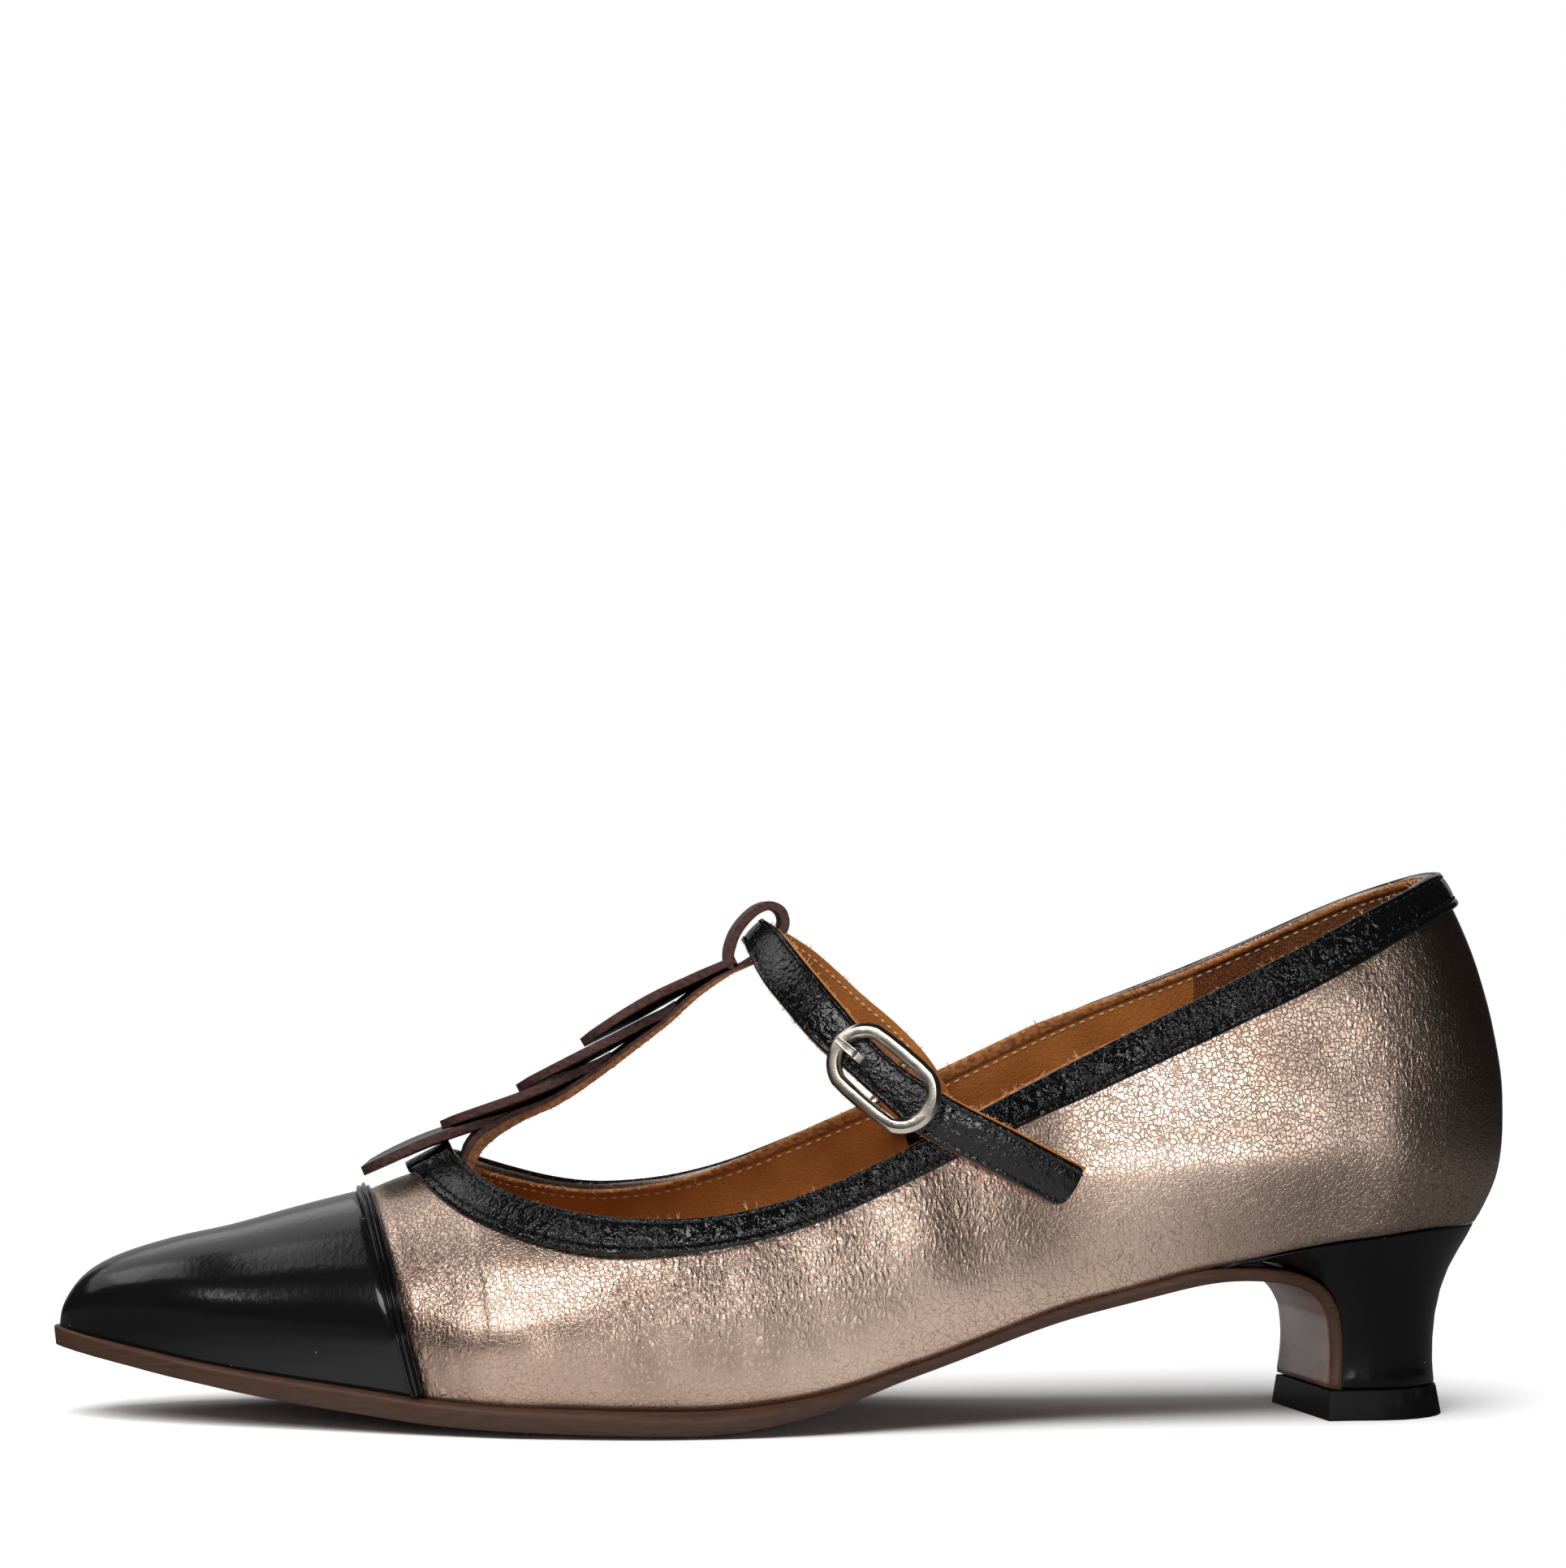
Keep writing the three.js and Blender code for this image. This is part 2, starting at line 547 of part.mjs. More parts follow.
// Section of the outsole under the upper: its top face follows the feather, its tread bellies to the floor.
function soleRing(station) {
  const t = placeAt(station, 0);
  const ledge = soleLedge * line.ledge(t);
  const ends = sides.map((side) => offFeather(station, side, ledge, -seam));
  const tread = treadPlaces.map((k) => {
    const place = ends[0].clone().lerp(ends[1], (k + 1) / 2);
    place.z -= soleEdge * line.edge(t) + soleCrown * line.bow(t) * (1 - k * k);
    return place.setZ(Math.max(0, place.z));
  });
  const middle = ends[1].clone().lerp(ends[0], 0.5);
  return [...tread, ends[1], middle.setZ(underLast(-middle.x) - seam), ends[0]];
}

// Section of the flap on the heel breast, square to the breast curve.
function flapRing(rise) {
  const breast = (k) => [length * ring.front(k), heelBase + heelRise * ring.rise(k)];
  const [x0, z0] = breast(Math.max(0, rise - 0.01));
  const [x1, z1] = breast(Math.min(1, rise + 0.01));
  const run = Math.hypot(x1 - x0, z1 - z0);
  const normal = [(z1 - z0) / run, -(x1 - x0) / run];
  const [along, z] = breast(rise);
  const half = ballWidth * 0.5 * ring.nose(rise);
  const centre = ballWidth * section.centre(along / length) * rise;
  const place = (k, distance) => turnHeel(
    along + normal[0] * distance,
    centre + half * k,
    z + normal[1] * distance,
    rise,
  );
  const front = treadPlaces.map((k) => place(k, seam + flapLeather));
  return [...front, place(1, seam), place(0, seam), place(-1, seam)];
}

function outsoleGeometry() {
  const tip = steps(7, 1, 1 - toeStations);
  const body = steps(22, 1 - toeStations, stationOf(beakAt + 0.012)).slice(1);
  const flap = [0.97, 0.92, 0.87, 0.82, 0.765, 0.71, 0.645, 0.58, 0.5, 0.43, 0.28, 0.14, 0];
  return loft([...tip, ...body].map(soleRing).concat(flap.map(flapRing)));
}
add('outsole', outsoleGeometry(), { color: leatherColours.sole, roughness: 0.35, metalness: 0 });

// Distance along the shoe that one whole run of stations would cover in the middle of the last.
const stationRun = (length * (1 - heelRound - toeRound)) / (1 - heelStations - toeStations);

// Toe cap over the thinned wall, from behind the piping to the tip.
const capInner = seam - capStep;
const capStations = (() => {
  const start = seamStation + lip + (pipingBead + 2 * seam) / stationRun;
  return [...steps(5, start, 1 - toeStations), ...toeEnd];
})();

function capGeometry() {
  const skin = new Skin();
  const heights = [...steps(6, 1, belly), ...steps(3, belly, 0).slice(1)];
  sides.forEach((side) => {
    const rows = capStations.map((station) => {
      const outer = heights.map((up) => offLast(station, up, side, capInner + capLeather));
      const inner = heights.map((up) => offLast(station, up, side, capInner));
      return [...outer, ...inner.reverse()];
    });
    const ordered = side < 0 ? rows : rows.map((row) => [...row].reverse());
    for (let i = 0; i < rows.length - 1; i += 1) skin.strip(ordered[i], ordered[i + 1]);
    const back = ordered[0];
    const half = back.length / 2;
    for (let k = 0; k < half - 1; k += 1) {
      const mirror = back.length - 1 - k;
      skin.quad(back[k + 1], back[k], back[mirror], back[mirror - 1]);
    }
  });
  return skin.geometry();
}
add('toe_cap', capGeometry(), { color: leatherColours.patent, roughness: 0.1, metalness: 0 });

// Ring of points round a place, in the plane of two directions.
function roundRing(centre, a, b, radius, count) {
  return steps(count).slice(0, -1).map((k) => {
    const angle = k * 2 * Math.PI;
    const place = centre.clone().addScaledVector(a, radius * Math.cos(angle));
    return place.addScaledVector(b, radius * Math.sin(angle));
  });
}

// Piping bead in the channel between vamp and cap.
function pipingGeometry() {
  const station = seamStation + lip + (pipingBead / 2 + seam) / stationRun;
  const height = capInner + pipingBead / 2;
  const climb = [0.035, 0.1, 0.17, 0.24, 0.36, 0.5, 0.64, 0.77, 0.89];
  const places = [
    ...climb.map((up) => [up, -1]),
    [1, -1],
    ...[...climb].reverse().map((up) => [up, 1]),
  ];
  const centres = places.map(([up, side]) => offLast(station, up, side, height));
  const rings = places.map(([up, side], i) => {
    const before = centres[Math.max(0, i - 1)];
    const after = centres[Math.min(centres.length - 1, i + 1)];
    const run = after.clone().sub(before).normalize();
    const across = lastNormal(station, up, side).cross(run).normalize();
    return roundRing(centres[i], across, run.clone().cross(across), pipingBead / 2, 8);
  });
  return loft(rings);
}
add('cap_piping', pipingGeometry(), { color: leatherColours.patent, roughness: 0.15, metalness: 0 });

// Walks over the last from a place, by a distance in a fixed direction, and gives station and up.
function walk(station, up, side, direction, distance) {
  const count = 6;
  let [s, u] = [station, up];
  for (let i = 0; i < count; i += 1) {
    const d = 1e-4;
    const s0 = Math.max(0, s - d);
    const u0 = Math.max(0, u - d);
    const bs = last(s0 + 2 * d, u, side).sub(last(s0, u, side)).divideScalar(2 * d);
    const bu = last(s, Math.min(1, u + d), side).sub(last(s, u0, side)).divideScalar(Math.min(1, u + d) - u0);
    const [a, b, c] = [bs.dot(bs), bs.dot(bu), bu.dot(bu)];
    const [p, q] = [bs.dot(direction), bu.dot(direction)];
    const det = a * c - b * b;
    const stepTo = [(c * p - b * q) / det, (a * q - b * p) / det];
    const moved = bs.clone().multiplyScalar(stepTo[0]).addScaledVector(bu, stepTo[1]).length();
    s = Math.max(0, s + (stepTo[0] * distance) / count / moved);
    u = Math.min(1, u + (stepTo[1] * distance) / count / moved);
  }
  return [s, u];
}

// Binding round the collar: a band outside the wall, its top edge level with the collar edge.
function trimGeometry() {
  const stations = upperStations.filter((station) => station <= throatStation + 1e-9);
  const run = [
    ...[...stations].reverse().map((station) => [station, -1]),
    ...stations.slice(1, -1).map((station) => [station, 1]),
  ];
  const edge = run.map(([station, side]) => last(station, collarUp(station, side), side));
  const rings = run.map(([station, side], i) => {
    const before = edge[(i - 1 + edge.length) % edge.length];
    const after = edge[(i + 1) % edge.length];
    const top = collarUp(station, side);
    const tangent = after.clone().sub(before).normalize();
    if (station <= 0 || station >= throatStation - 1e-9) tangent.set(0, side, 0);
    const down = tangent.cross(lastNormal(station, top, side)).normalize();
    const falling = station >= throatStation - 1e-9 ? -down.x : -down.z;
    if (falling < 0) down.negate();
    const wide = trimWidth * trimBand(placeOf(station));
    const places = [0, 0.33, 0.67, 1].map((k) => walk(station, top, side, down, wide * k + 1e-6));
    const outer = places.map(([s, u]) => offLast(s, u, side, seam + trimLeather));
    const inner = places.map(([s, u]) => offLast(s, u, side, seam));
    return [...outer, ...inner.reverse()];
  });
  return loft(rings, true);
}
add('topline_trim', trimGeometry(), { color: leatherColours.patent, roughness: 0.2, metalness: 0 });

// The T-bar, its loop and its petals are placed between the throat and the loop: along and rise are shares
// of the way from the one to the other.
const throatPlace = last(throatStation, 1, 1);
const loopAt = 0.531;         // place of the loop, share of the length
function barPlace(along, rise, y = 0) {
  const x = mix(-throatPlace.x, length * loopAt, along);
  return point(x, mix(throatPlace.y, 0, THREE.MathUtils.clamp(along, 0, 1)) + y, throatPlace.z + loopLift * rise);
}
const barLine = [
  { along: -0.085, rise: -0.18 },
  { along: -0.01, rise: -0.142 },
  { along: 0.045, rise: -0.06 },
  { along: 0.1, rise: 0.065 },
  { along: 0.2, rise: 0.169 },
  { along: 0.352, rise: 0.275 },
  { along: 0.507, rise: 0.433 },
  { along: 0.62, rise: 0.562 },
  { along: 0.726, rise: 0.685 },
  { along: 0.815, rise: 0.81 },
  { along: 0.939, rise: 0.94 },
  { along: 1.0, rise: 1.0 },
];
const loopLine = [
  { along: 1.058, rise: 1.062 },
  { along: 1.1, rise: 1.15 },
  { along: 1.112, rise: 1.235 },
  { along: 1.082, rise: 1.29 },
  { along: 1.038, rise: 1.288 },
  { along: 0.985, rise: 1.23 },
  { along: 0.945, rise: 1.145 },
  { along: 0.93, rise: 1.08 },
];
const petals = [
  { name: 'petal_1', root: [0.915, 1.003], middle: [0.663, 0.811], tip: [0.423, 0.596] },
  { name: 'petal_2', root: [0.731, 0.77], middle: [0.472, 0.553], tip: [0.206, 0.354] },
  { name: 'petal_3', root: [0.51, 0.508], middle: [0.251, 0.32], tip: [-0.053, 0.165] },
  { name: 'petal_4', root: [0.162, 0.204], middle: [-0.082, 0.075], tip: [-0.316, -0.08] },
];

// Flat strap along a curve. widthAt and thickAt give half width and half thickness, arch lowers the edges.
function strap(curve, count, widthAt, thickAt, widthWay, arch = 0) {
  const rings = steps(count).map((k) => {
    const centre = curve.getPointAt(k);
    const run = curve.getTangentAt(k);
    const normal = run.clone().cross(widthWay).normalize();
    const across = normal.clone().cross(run).normalize();
    const at = (w, h) => centre.clone()
      .addScaledVector(across, w * widthAt(k))
      .addScaledVector(normal, h * thickAt(k) - arch * w * w * widthAt(k));
    const places = [-1, -0.5, 0, 0.5, 1];
    return [...places.map((w) => at(w, -1)), ...[...places].reverse().map((w) => at(w, 1))];
  });
  return loft(rings);
}
const sideways = new THREE.Vector3(0, 1, 0);
const smooth = (points) => new THREE.CatmullRomCurve3(points, false, 'centripetal');

function barGeometry() {
  const curve = smooth([...barLine, ...loopLine].map(({ along, rise }) => barPlace(along, rise)));
  const loopStart = 0.68;
  const width = (k) => mix(barWidth, loopWidth, ease((k - loopStart) / 0.1)) / 2;
  return strap(curve, 44, width, () => barLeather / 2, sideways);
}
add('t_bar', barGeometry(), { color: leatherColours.brown, roughness: 0.5, metalness: 0 });

function petalGeometry({ root, middle, tip }) {
  const curve = smooth([barPlace(...root), barPlace(...middle), barPlace(...tip)]);
  const width = (k) => {
    const swell = mix(0.5, 1, ease(k / 0.55));
    const point = Math.sqrt(Math.max(0, 1 - Math.max(0, (k - 0.6) / 0.4) ** 2));
    return (petalWidth / 2) * swell * point;
  };
  return strap(curve, 12, width, () => petalLeather / 2, sideways, 0.08);
}
petals.forEach((petal) => {
  add(petal.name, petalGeometry(petal), { color: leatherColours.brown, roughness: 0.45, metalness: 0 });
});

// Ankle strap from inside the inner collar over the instep, through the loop and buckle, to its tail.
// along and rise as for the T-bar, out is a share of half ballWidth, wide a share of strapWidth.
const strapLine = [
  { along: 1.65, rise: 0.2, out: 0.59, wide: 1.6 },
  { along: 1.587, rise: 0.401, out: 0.565, wide: 1.35 },
  { along: 1.4915, rise: 0.58, out: 0.54, wide: 1.15 },
  { along: 1.358, rise: 0.765, out: 0.467, wide: 1 },
  { along: 1.2055, rise: 0.96, out: 0.34, wide: 1 },
  { along: 1.082, rise: 1.095, out: 0.22, wide: 0.82 },
  { along: 1.028, rise: 1.147, out: 0.12, wide: 0.7 },
  { along: 1.022, rise: 1.152, out: 0, wide: 0.7 },
  { along: 1.042, rise: 1.085, out: -0.25, wide: 0.88 },
  { along: 1.078, rise: 0.977, out: -0.44, wide: 1 },
  { along: 1.14, rise: 0.845, out: -0.6, wide: 1 },
  { along: 1.21, rise: 0.71, out: -0.725, wide: 1 },
  { along: 1.392, rise: 0.437, out: -0.89, wide: 1 },
  { along: 1.534, rise: 0.275, out: -0.992, wide: 1 },
  { along: 1.76, rise: 0.1, out: -0.99, wide: 1 },
  { along: 1.986, rise: -0.077, out: -0.935, wide: 1 },
];
const strapWay = new THREE.Vector3(-0.69, 0.13, -0.71);
const strapPoints = strapLine.map(({ along, rise, out }) => barPlace(along, rise, (out * ballWidth) / 2));
const strapCurve = smooth(strapPoints);
const strapShares = (() => {
  const runs = strapPoints.map((p, i) => (i === 0 ? 0 : p.distanceTo(strapPoints[i - 1])));
  const total = runs.reduce((sum, run) => sum + run, 0);
  let sum = 0;
  return runs.map((run) => { sum += run; return sum / total; });
})();
const strapWide = column(strapLine.map((row, i) => ({ at: strapShares[i], wide: row.wide })), 'wide');

// The buckle's own directions: run towards the tail, across, and out from the foot.
const buckleShare = strapShares[12];
const buckle = (() => {
  const centre = strapCurve.getPointAt(buckleShare);
  const run = strapCurve.getTangentAt(buckleShare);
  const out = strapWay.clone().cross(run).normalize();
  return { centre, run, out, across: run.clone().cross(out).normalize() };
})();
function atBuckle(along, across, out) {
  return buckle.centre.clone()
    .addScaledVector(buckle.run, along)
    .addScaledVector(buckle.across, across)
    .addScaledVector(buckle.out, out);
}

// Boolean joins and cuts of closed meshes.
const wasm = await Module();
wasm.setup();
function solidOf(geometry) {
  const plain = new THREE.BufferGeometry();
  plain.setAttribute('position', geometry.getAttribute('position').clone());
  if (geometry.getIndex()) plain.setIndex(geometry.getIndex().clone());
  const merged = mergeVertices(plain, 1e-4);
  return new wasm.Manifold(new wasm.Mesh({
    numProp: 3,
    vertProperties: new Float32Array(merged.getAttribute('position').array),
    triVerts: new Uint32Array(merged.getIndex().array),
  }));
}
function geometryOf(solid) {
  const mesh = solid.getMesh();
  const geometry = new THREE.BufferGeometry();
  geometry.setAttribute('position', new THREE.Float32BufferAttribute(mesh.vertProperties, 3));
  geometry.setIndex([...mesh.triVerts]);
  geometry.computeVertexNormals();
  return geometry;
}

// Heights out from the strap's middle at the buckle.
const frameOut = strapLeather / 2 + seam + buckleMetal / 2;
const barOut = -(strapLeather / 2 + seam + buckleMetal / 2);
const prongOut = frameOut + buckleMetal / 2 + seam + prongMetal / 2;
const holeAlong = -buckleLength * 0.2;
const holeLength = prongMetal * 3.4;
const holeWidth = prongWidth + 2 * seam;

function strapGeometry() {
  const width = (k) => (strapWidth / 2) * strapWide(k);
  const band = strap(strapCurve, 44, width, () => strapLeather / 2, strapWay);
  const tall = strapLeather * 3;
  const slot = [-1, 1].map((side) => {
    const corners = [[-1, -1], [1, -1], [1, 1], [-1, 1]];
    return corners.map(([a, b]) => atBuckle(
      holeAlong + (a * holeLength) / 2,
      (b * holeWidth) / 2,
      (side * tall) / 2,
    ));
  });
  return geometryOf(solidOf(band).subtract(solidOf(loft(slot))));
}
add('ankle_strap', strapGeometry(), { color: leatherColours.patent, roughness: 0.2, metalness: 0 });

// Oval frame with its centre bar under the strap.
function frameGeometry() {
  const endRadius = (buckleWidth - buckleBand) / 2;
  const straight = (buckleLength - buckleWidth) / 2;
  const rings = steps(40).slice(0, -1).map((k) => {
    const angle = k * 2 * Math.PI;
    const way = [Math.cos(angle), Math.sin(angle)];
    const shift = straight * THREE.MathUtils.clamp(way[0] * 4, -1, 1);
    const [w, h] = [buckleBand / 2, buckleMetal / 2];
    const profile = [[-w, -h], [w, -h], [w, h * 0.3], [w * 0.5, h], [-w * 0.5, h], [-w, h * 0.3]];
    return profile.map(([across, up]) => atBuckle(
      shift + way[0] * (endRadius + across),
      way[1] * (endRadius + across),
      frameOut + up,
    ));
  });
  const legs = [
    [-1, frameOut], [-1, 0], [-1, barOut * 0.6], [-0.88, barOut], [0, barOut],
    [0.88, barOut], [1, barOut * 0.6], [1, 0], [1, frameOut],
  ];
  const path = smooth(legs.map(([across, out]) => atBuckle(0, across * endRadius, out)));
  const bar = steps(24).map((k) => {
    const tangent = path.getTangentAt(k);
    const side = tangent.clone().cross(buckle.run).normalize();
    return roundRing(path.getPointAt(k), side, buckle.run, buckleMetal / 2, 8);
  });
  return geometryOf(solidOf(loft(rings, true)).add(solidOf(loft(bar))));
}
add('buckle_frame', frameGeometry(), { color: leatherColours.silver, roughness: 0.3, metalness: 1 });

// Prong from beside the bar, up through the hole and over the end of the frame.
function prongGeometry() {
  const tip = -buckleLength / 2 + buckleBand * 0.2;
  const places = [
    [-(buckleMetal / 2 + seam), barOut],
    [holeAlong + holeLength * 0.42, barOut],
    [holeAlong + holeLength * 0.2, barOut * 0.6],
    [holeAlong - holeLength * 0.1, frameOut * 0.7],
    [holeAlong - holeLength * 0.35, prongOut * 0.93],
    [mix(holeAlong, tip, 0.6), prongOut],
    [tip, prongOut],
  ];
  const path = smooth(places.map(([along, out]) => atBuckle(along, 0, out)));
  const round = (k) => (prongWidth / 2) * (k > 0.9 ? 0.75 : 1);
  return strap(path, 14, round, () => prongMetal / 2, buckle.across);
}
add('buckle_prong', prongGeometry(), { color: leatherColours.silver, roughness: 0.3, metalness: 1 });

// Tab from inside the outer collar up to the centre bar.
function tabGeometry() {
  const out = barOut - buckleMetal / 2 - seam - tabLeather / 2;
  const places = [
    atBuckle(-1, 0, out),
    atBuckle(buckleLength * 0.2, 0, out - 0.3),
    barPlace(1.53, 0.17, -0.795 * ballWidth / 2),
    barPlace(1.585, -0.03, -0.82 * ballWidth / 2),
  ];
  return strap(smooth(places), 10, () => tabWidth / 2, () => tabLeather / 2, strapWay);
}
add('buckle_tab', tabGeometry(), { color: leatherColours.patent, roughness: 0.3, metalness: 0 });

shoe.position.x = heelCentre;

export default shoe;
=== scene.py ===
import math
import random

import bmesh
import bpy
from mathutils import Matrix, Vector, noise
from mathutils.bvhtree import BVHTree


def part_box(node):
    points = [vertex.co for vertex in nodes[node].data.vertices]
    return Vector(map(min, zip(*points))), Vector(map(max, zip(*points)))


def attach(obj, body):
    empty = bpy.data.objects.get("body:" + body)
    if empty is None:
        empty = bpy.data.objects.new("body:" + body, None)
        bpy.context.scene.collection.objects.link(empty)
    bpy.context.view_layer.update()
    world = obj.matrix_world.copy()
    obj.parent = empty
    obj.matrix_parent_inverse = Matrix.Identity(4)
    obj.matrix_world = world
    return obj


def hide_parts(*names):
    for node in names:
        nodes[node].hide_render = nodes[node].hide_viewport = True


# A left T-bar pump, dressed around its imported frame. Metres, toe towards -X, outer side towards -Y.
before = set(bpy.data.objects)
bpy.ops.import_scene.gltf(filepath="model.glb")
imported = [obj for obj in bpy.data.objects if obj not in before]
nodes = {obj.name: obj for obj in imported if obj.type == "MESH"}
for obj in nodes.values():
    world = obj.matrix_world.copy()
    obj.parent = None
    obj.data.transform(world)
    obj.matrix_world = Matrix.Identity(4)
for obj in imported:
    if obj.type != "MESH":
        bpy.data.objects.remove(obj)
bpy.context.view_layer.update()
mm = 0.001
heelBack = 0.02396          # X of the back of the shoe's measuring line
random.seed(7)
print("frame loaded")


def alongOf(co):            # distance forward from the back of the heel, in mm
    return (heelBack - co.x) / mm


# Node helpers

def put(tree, kind, settings=None, **inputs):  # a node; i0, i1 and so on are sockets by number
    node = tree.nodes.new(kind)
    for key, value in (settings or {}).items():
        setattr(node, key, value)
    for key, value in inputs.items():
        numbered = key[0] == "i" and key[1:].isdigit()
        socket = node.inputs[int(key[1:]) if numbered else key.replace("_", " ")]
        if isinstance(value, bpy.types.NodeSocket):
            tree.links.new(value, socket)
        else:
            socket.default_value = value
    return node


def math2(tree, operation, a, b):
    return put(tree, "ShaderNodeMath", {"operation": operation}, i0=a, i1=b).outputs[0]


def times(tree, a, b):
    return math2(tree, "MULTIPLY", a, b)


def plus(tree, a, b):
    return math2(tree, "ADD", a, b)


def remap(tree, value, low, high, outLow=0.0, outHigh=1.0):
    return put(tree, "ShaderNodeMapRange", {"interpolation_type": "SMOOTHSTEP"}, Value=value, From_Min=low,
               From_Max=high, To_Min=outLow, To_Max=outHigh).outputs[0]


def mixFloat(tree, factor, a, b):
    return put(tree, "ShaderNodeMix", {"data_type": "FLOAT"}, i0=factor, i2=a, i3=b).outputs[0]


def blendColour(tree, factor, a, b):
    a, b = [(*colour, 1.0) if isinstance(colour, tuple) else colour for colour in (a, b)]
    return put(tree, "ShaderNodeMix", {"data_type": "RGBA"}, i0=factor, i6=a, i7=b).outputs[2]


def noiseAt(tree, place, scale, detail):
    return put(tree, "ShaderNodeTexNoise", None, Vector=place, Scale=scale, Detail=detail).outputs[0]


def stretched(tree, place, scale, turn=(0.0, 0.0, 0.0)):
    return put(tree, "ShaderNodeMapping", None, Vector=place, Rotation=turn, Scale=scale).outputs[0]


def startGroup(name, floats, outputs):
    group = bpy.data.node_groups.new(name, "ShaderNodeTree")
    group.interface.new_socket("Vector", in_out="INPUT", socket_type="NodeSocketVector")
    for label, value in floats.items():
        group.interface.new_socket(label, in_out="INPUT", socket_type="NodeSocketFloat").default_value = value
    for label in outputs:
        group.interface.new_socket(label, in_out="OUTPUT", socket_type="NodeSocketFloat")
    return group, group.nodes.new("NodeGroupInput").outputs, group.nodes.new("NodeGroupOutput").inputs


def makeGrain():            # leather cells at two sizes, with thin valleys between them
    group, source, out = startGroup(
        "leatherGrain", {"Scale": 900.0, "Valley": 0.1, "Grit": 0.35}, ("Height", "Crease"))
    start, scale, valley = source["Vector"], source["Scale"], source["Valley"]

    def shift(operation, vector, **inputs):
        return put(group, "ShaderNodeVectorMath", {"operation": operation}, i0=vector, **inputs).outputs[0]

    def toEdge(share, size, amount):  # distance to the edges of cells that a slow noise bends
        warp = put(group, "ShaderNodeTexNoise", None, Vector=start, Scale=times(group, scale, share), Detail=2.0)
        push = shift("SUBTRACT", warp.outputs["Color"], i1=(0.5, 0.5, 0.5))
        push = shift("SCALE", push, Scale=math2(group, "DIVIDE", amount, scale))
        cells = put(group, "ShaderNodeTexVoronoi", {"feature": "DISTANCE_TO_EDGE"},
                    Vector=shift("ADD", start, i1=push), Scale=times(group, scale, size))
        return cells.outputs["Distance"]
    broad = toEdge(0.55, 1.0, 1.9)
    small = toEdge(1.3, 2.3, 1.0)
    cells = remap(group, broad, 0.0, valley)
    crumbs = times(group, remap(group, small, 0.0, times(group, valley, 1.6)), source["Grit"])
    grit = times(group, noiseAt(group, start, times(group, scale, 3.1), 3.0), source["Grit"])
    group.links.new(plus(group, plus(group, cells, crumbs), grit), out["Height"])
    group.links.new(math2(group, "SUBTRACT", 1.0, cells), out["Crease"])
    return group


def makeCrinkle():          # stiff creased film of patent leather
    group, source, out = startGroup("patentCrinkle", {"Scale": 700.0, "Sharpness": 0.5}, ("Height",))
    start, scale = source["Vector"], source["Scale"]
    broad = put(group, "ShaderNodeTexNoise", None, Vector=start, Scale=scale, Detail=2.0, Distortion=1.2)
    ridges = put(group, "ShaderNodeTexVoronoi", {"feature": "SMOOTH_F1"}, Vector=start,
                 Scale=times(group, scale, 1.15))
    sharp = times(group, ridges.outputs["Distance"], source["Sharpness"])
    group.links.new(plus(group, broad.outputs[0], sharp), out["Height"])
    return group


def makeDust():             # sparse light specks
    group, source, out = startGroup("dustSpecks", {"Scale": 260.0, "Size": 0.07}, ("Mask",))
    start = source["Vector"]
    specks = put(group, "ShaderNodeTexVoronoi", {"feature": "F1"}, Vector=start, Scale=source["Scale"])
    near = math2(group, "LESS_THAN", specks.outputs["Distance"], source["Size"])
    chance = remap(group, noiseAt(group, start, 60.0, 0.0), 0.45, 0.62)
    group.links.new(times(group, near, chance), out["Mask"])
    return group


grainGroup = makeGrain()
crinkleGroup = makeCrinkle()
dustGroup = makeDust()


def useGroup(tree, group, **inputs):
    return put(tree, "ShaderNodeGroup", {"node_tree": group}, **inputs).outputs


def startMaterial(name, **sockets):
    material = bpy.data.materials.new(name)
    material.use_nodes = True
    tree = material.node_tree
    shader = tree.nodes["Principled BSDF"]
    for key, value in sockets.items():
        shader.inputs[key.replace("_", " ")].default_value = value
    place = put(tree, "ShaderNodeTexCoord").outputs["Object"]
    return material, tree, shader, place


def plugIn(tree, shader, height, depth, **sockets):  # the bump, and what else changes over the surface
    bump = put(tree, "ShaderNodeBump", None, Height=height, Distance=depth, Strength=1.0)
    for key, socket in {"Normal": bump.outputs[0], **sockets}.items():
        tree.links.new(socket, shader.inputs[key.replace("_", " ")])


# Finishes

roseLook = {
    "foil": (0.87, 0.66, 0.535),
    "shade": (0.68, 0.485, 0.385),
    # the brown of the foil's cracks, also used as painted shade in the creases and wrinkles
    "crackAndShade": (0.11, 0.068, 0.05),
    "pebble": {"Scale": 1150.0, "Valley": 0.14, "Grit": 0.08},
    "crackle": {"Scale": 760.0, "Valley": 0.06, "Grit": 0.05},
    "wrinkle": {"Scale": 1000.0, "Valley": 0.5, "Grit": 0.3},
    # share of the bump: pebbles alone, crackle and pebbles where it is plain, wrinkles where it flexes
    "relief": {"pebbled": 0.42, "crackled": 0.3, "fine": 0.12, "wrinkled": 1.7},
    "crackAndShadeShare": 0.55,           # how far the creases are darkened towards the crack colour: partly the brown of the cracked foil, partly painted shade in the creases and wrinkles
    "roughness": (0.38, 0.31),
    "depth": 0.00007,
}


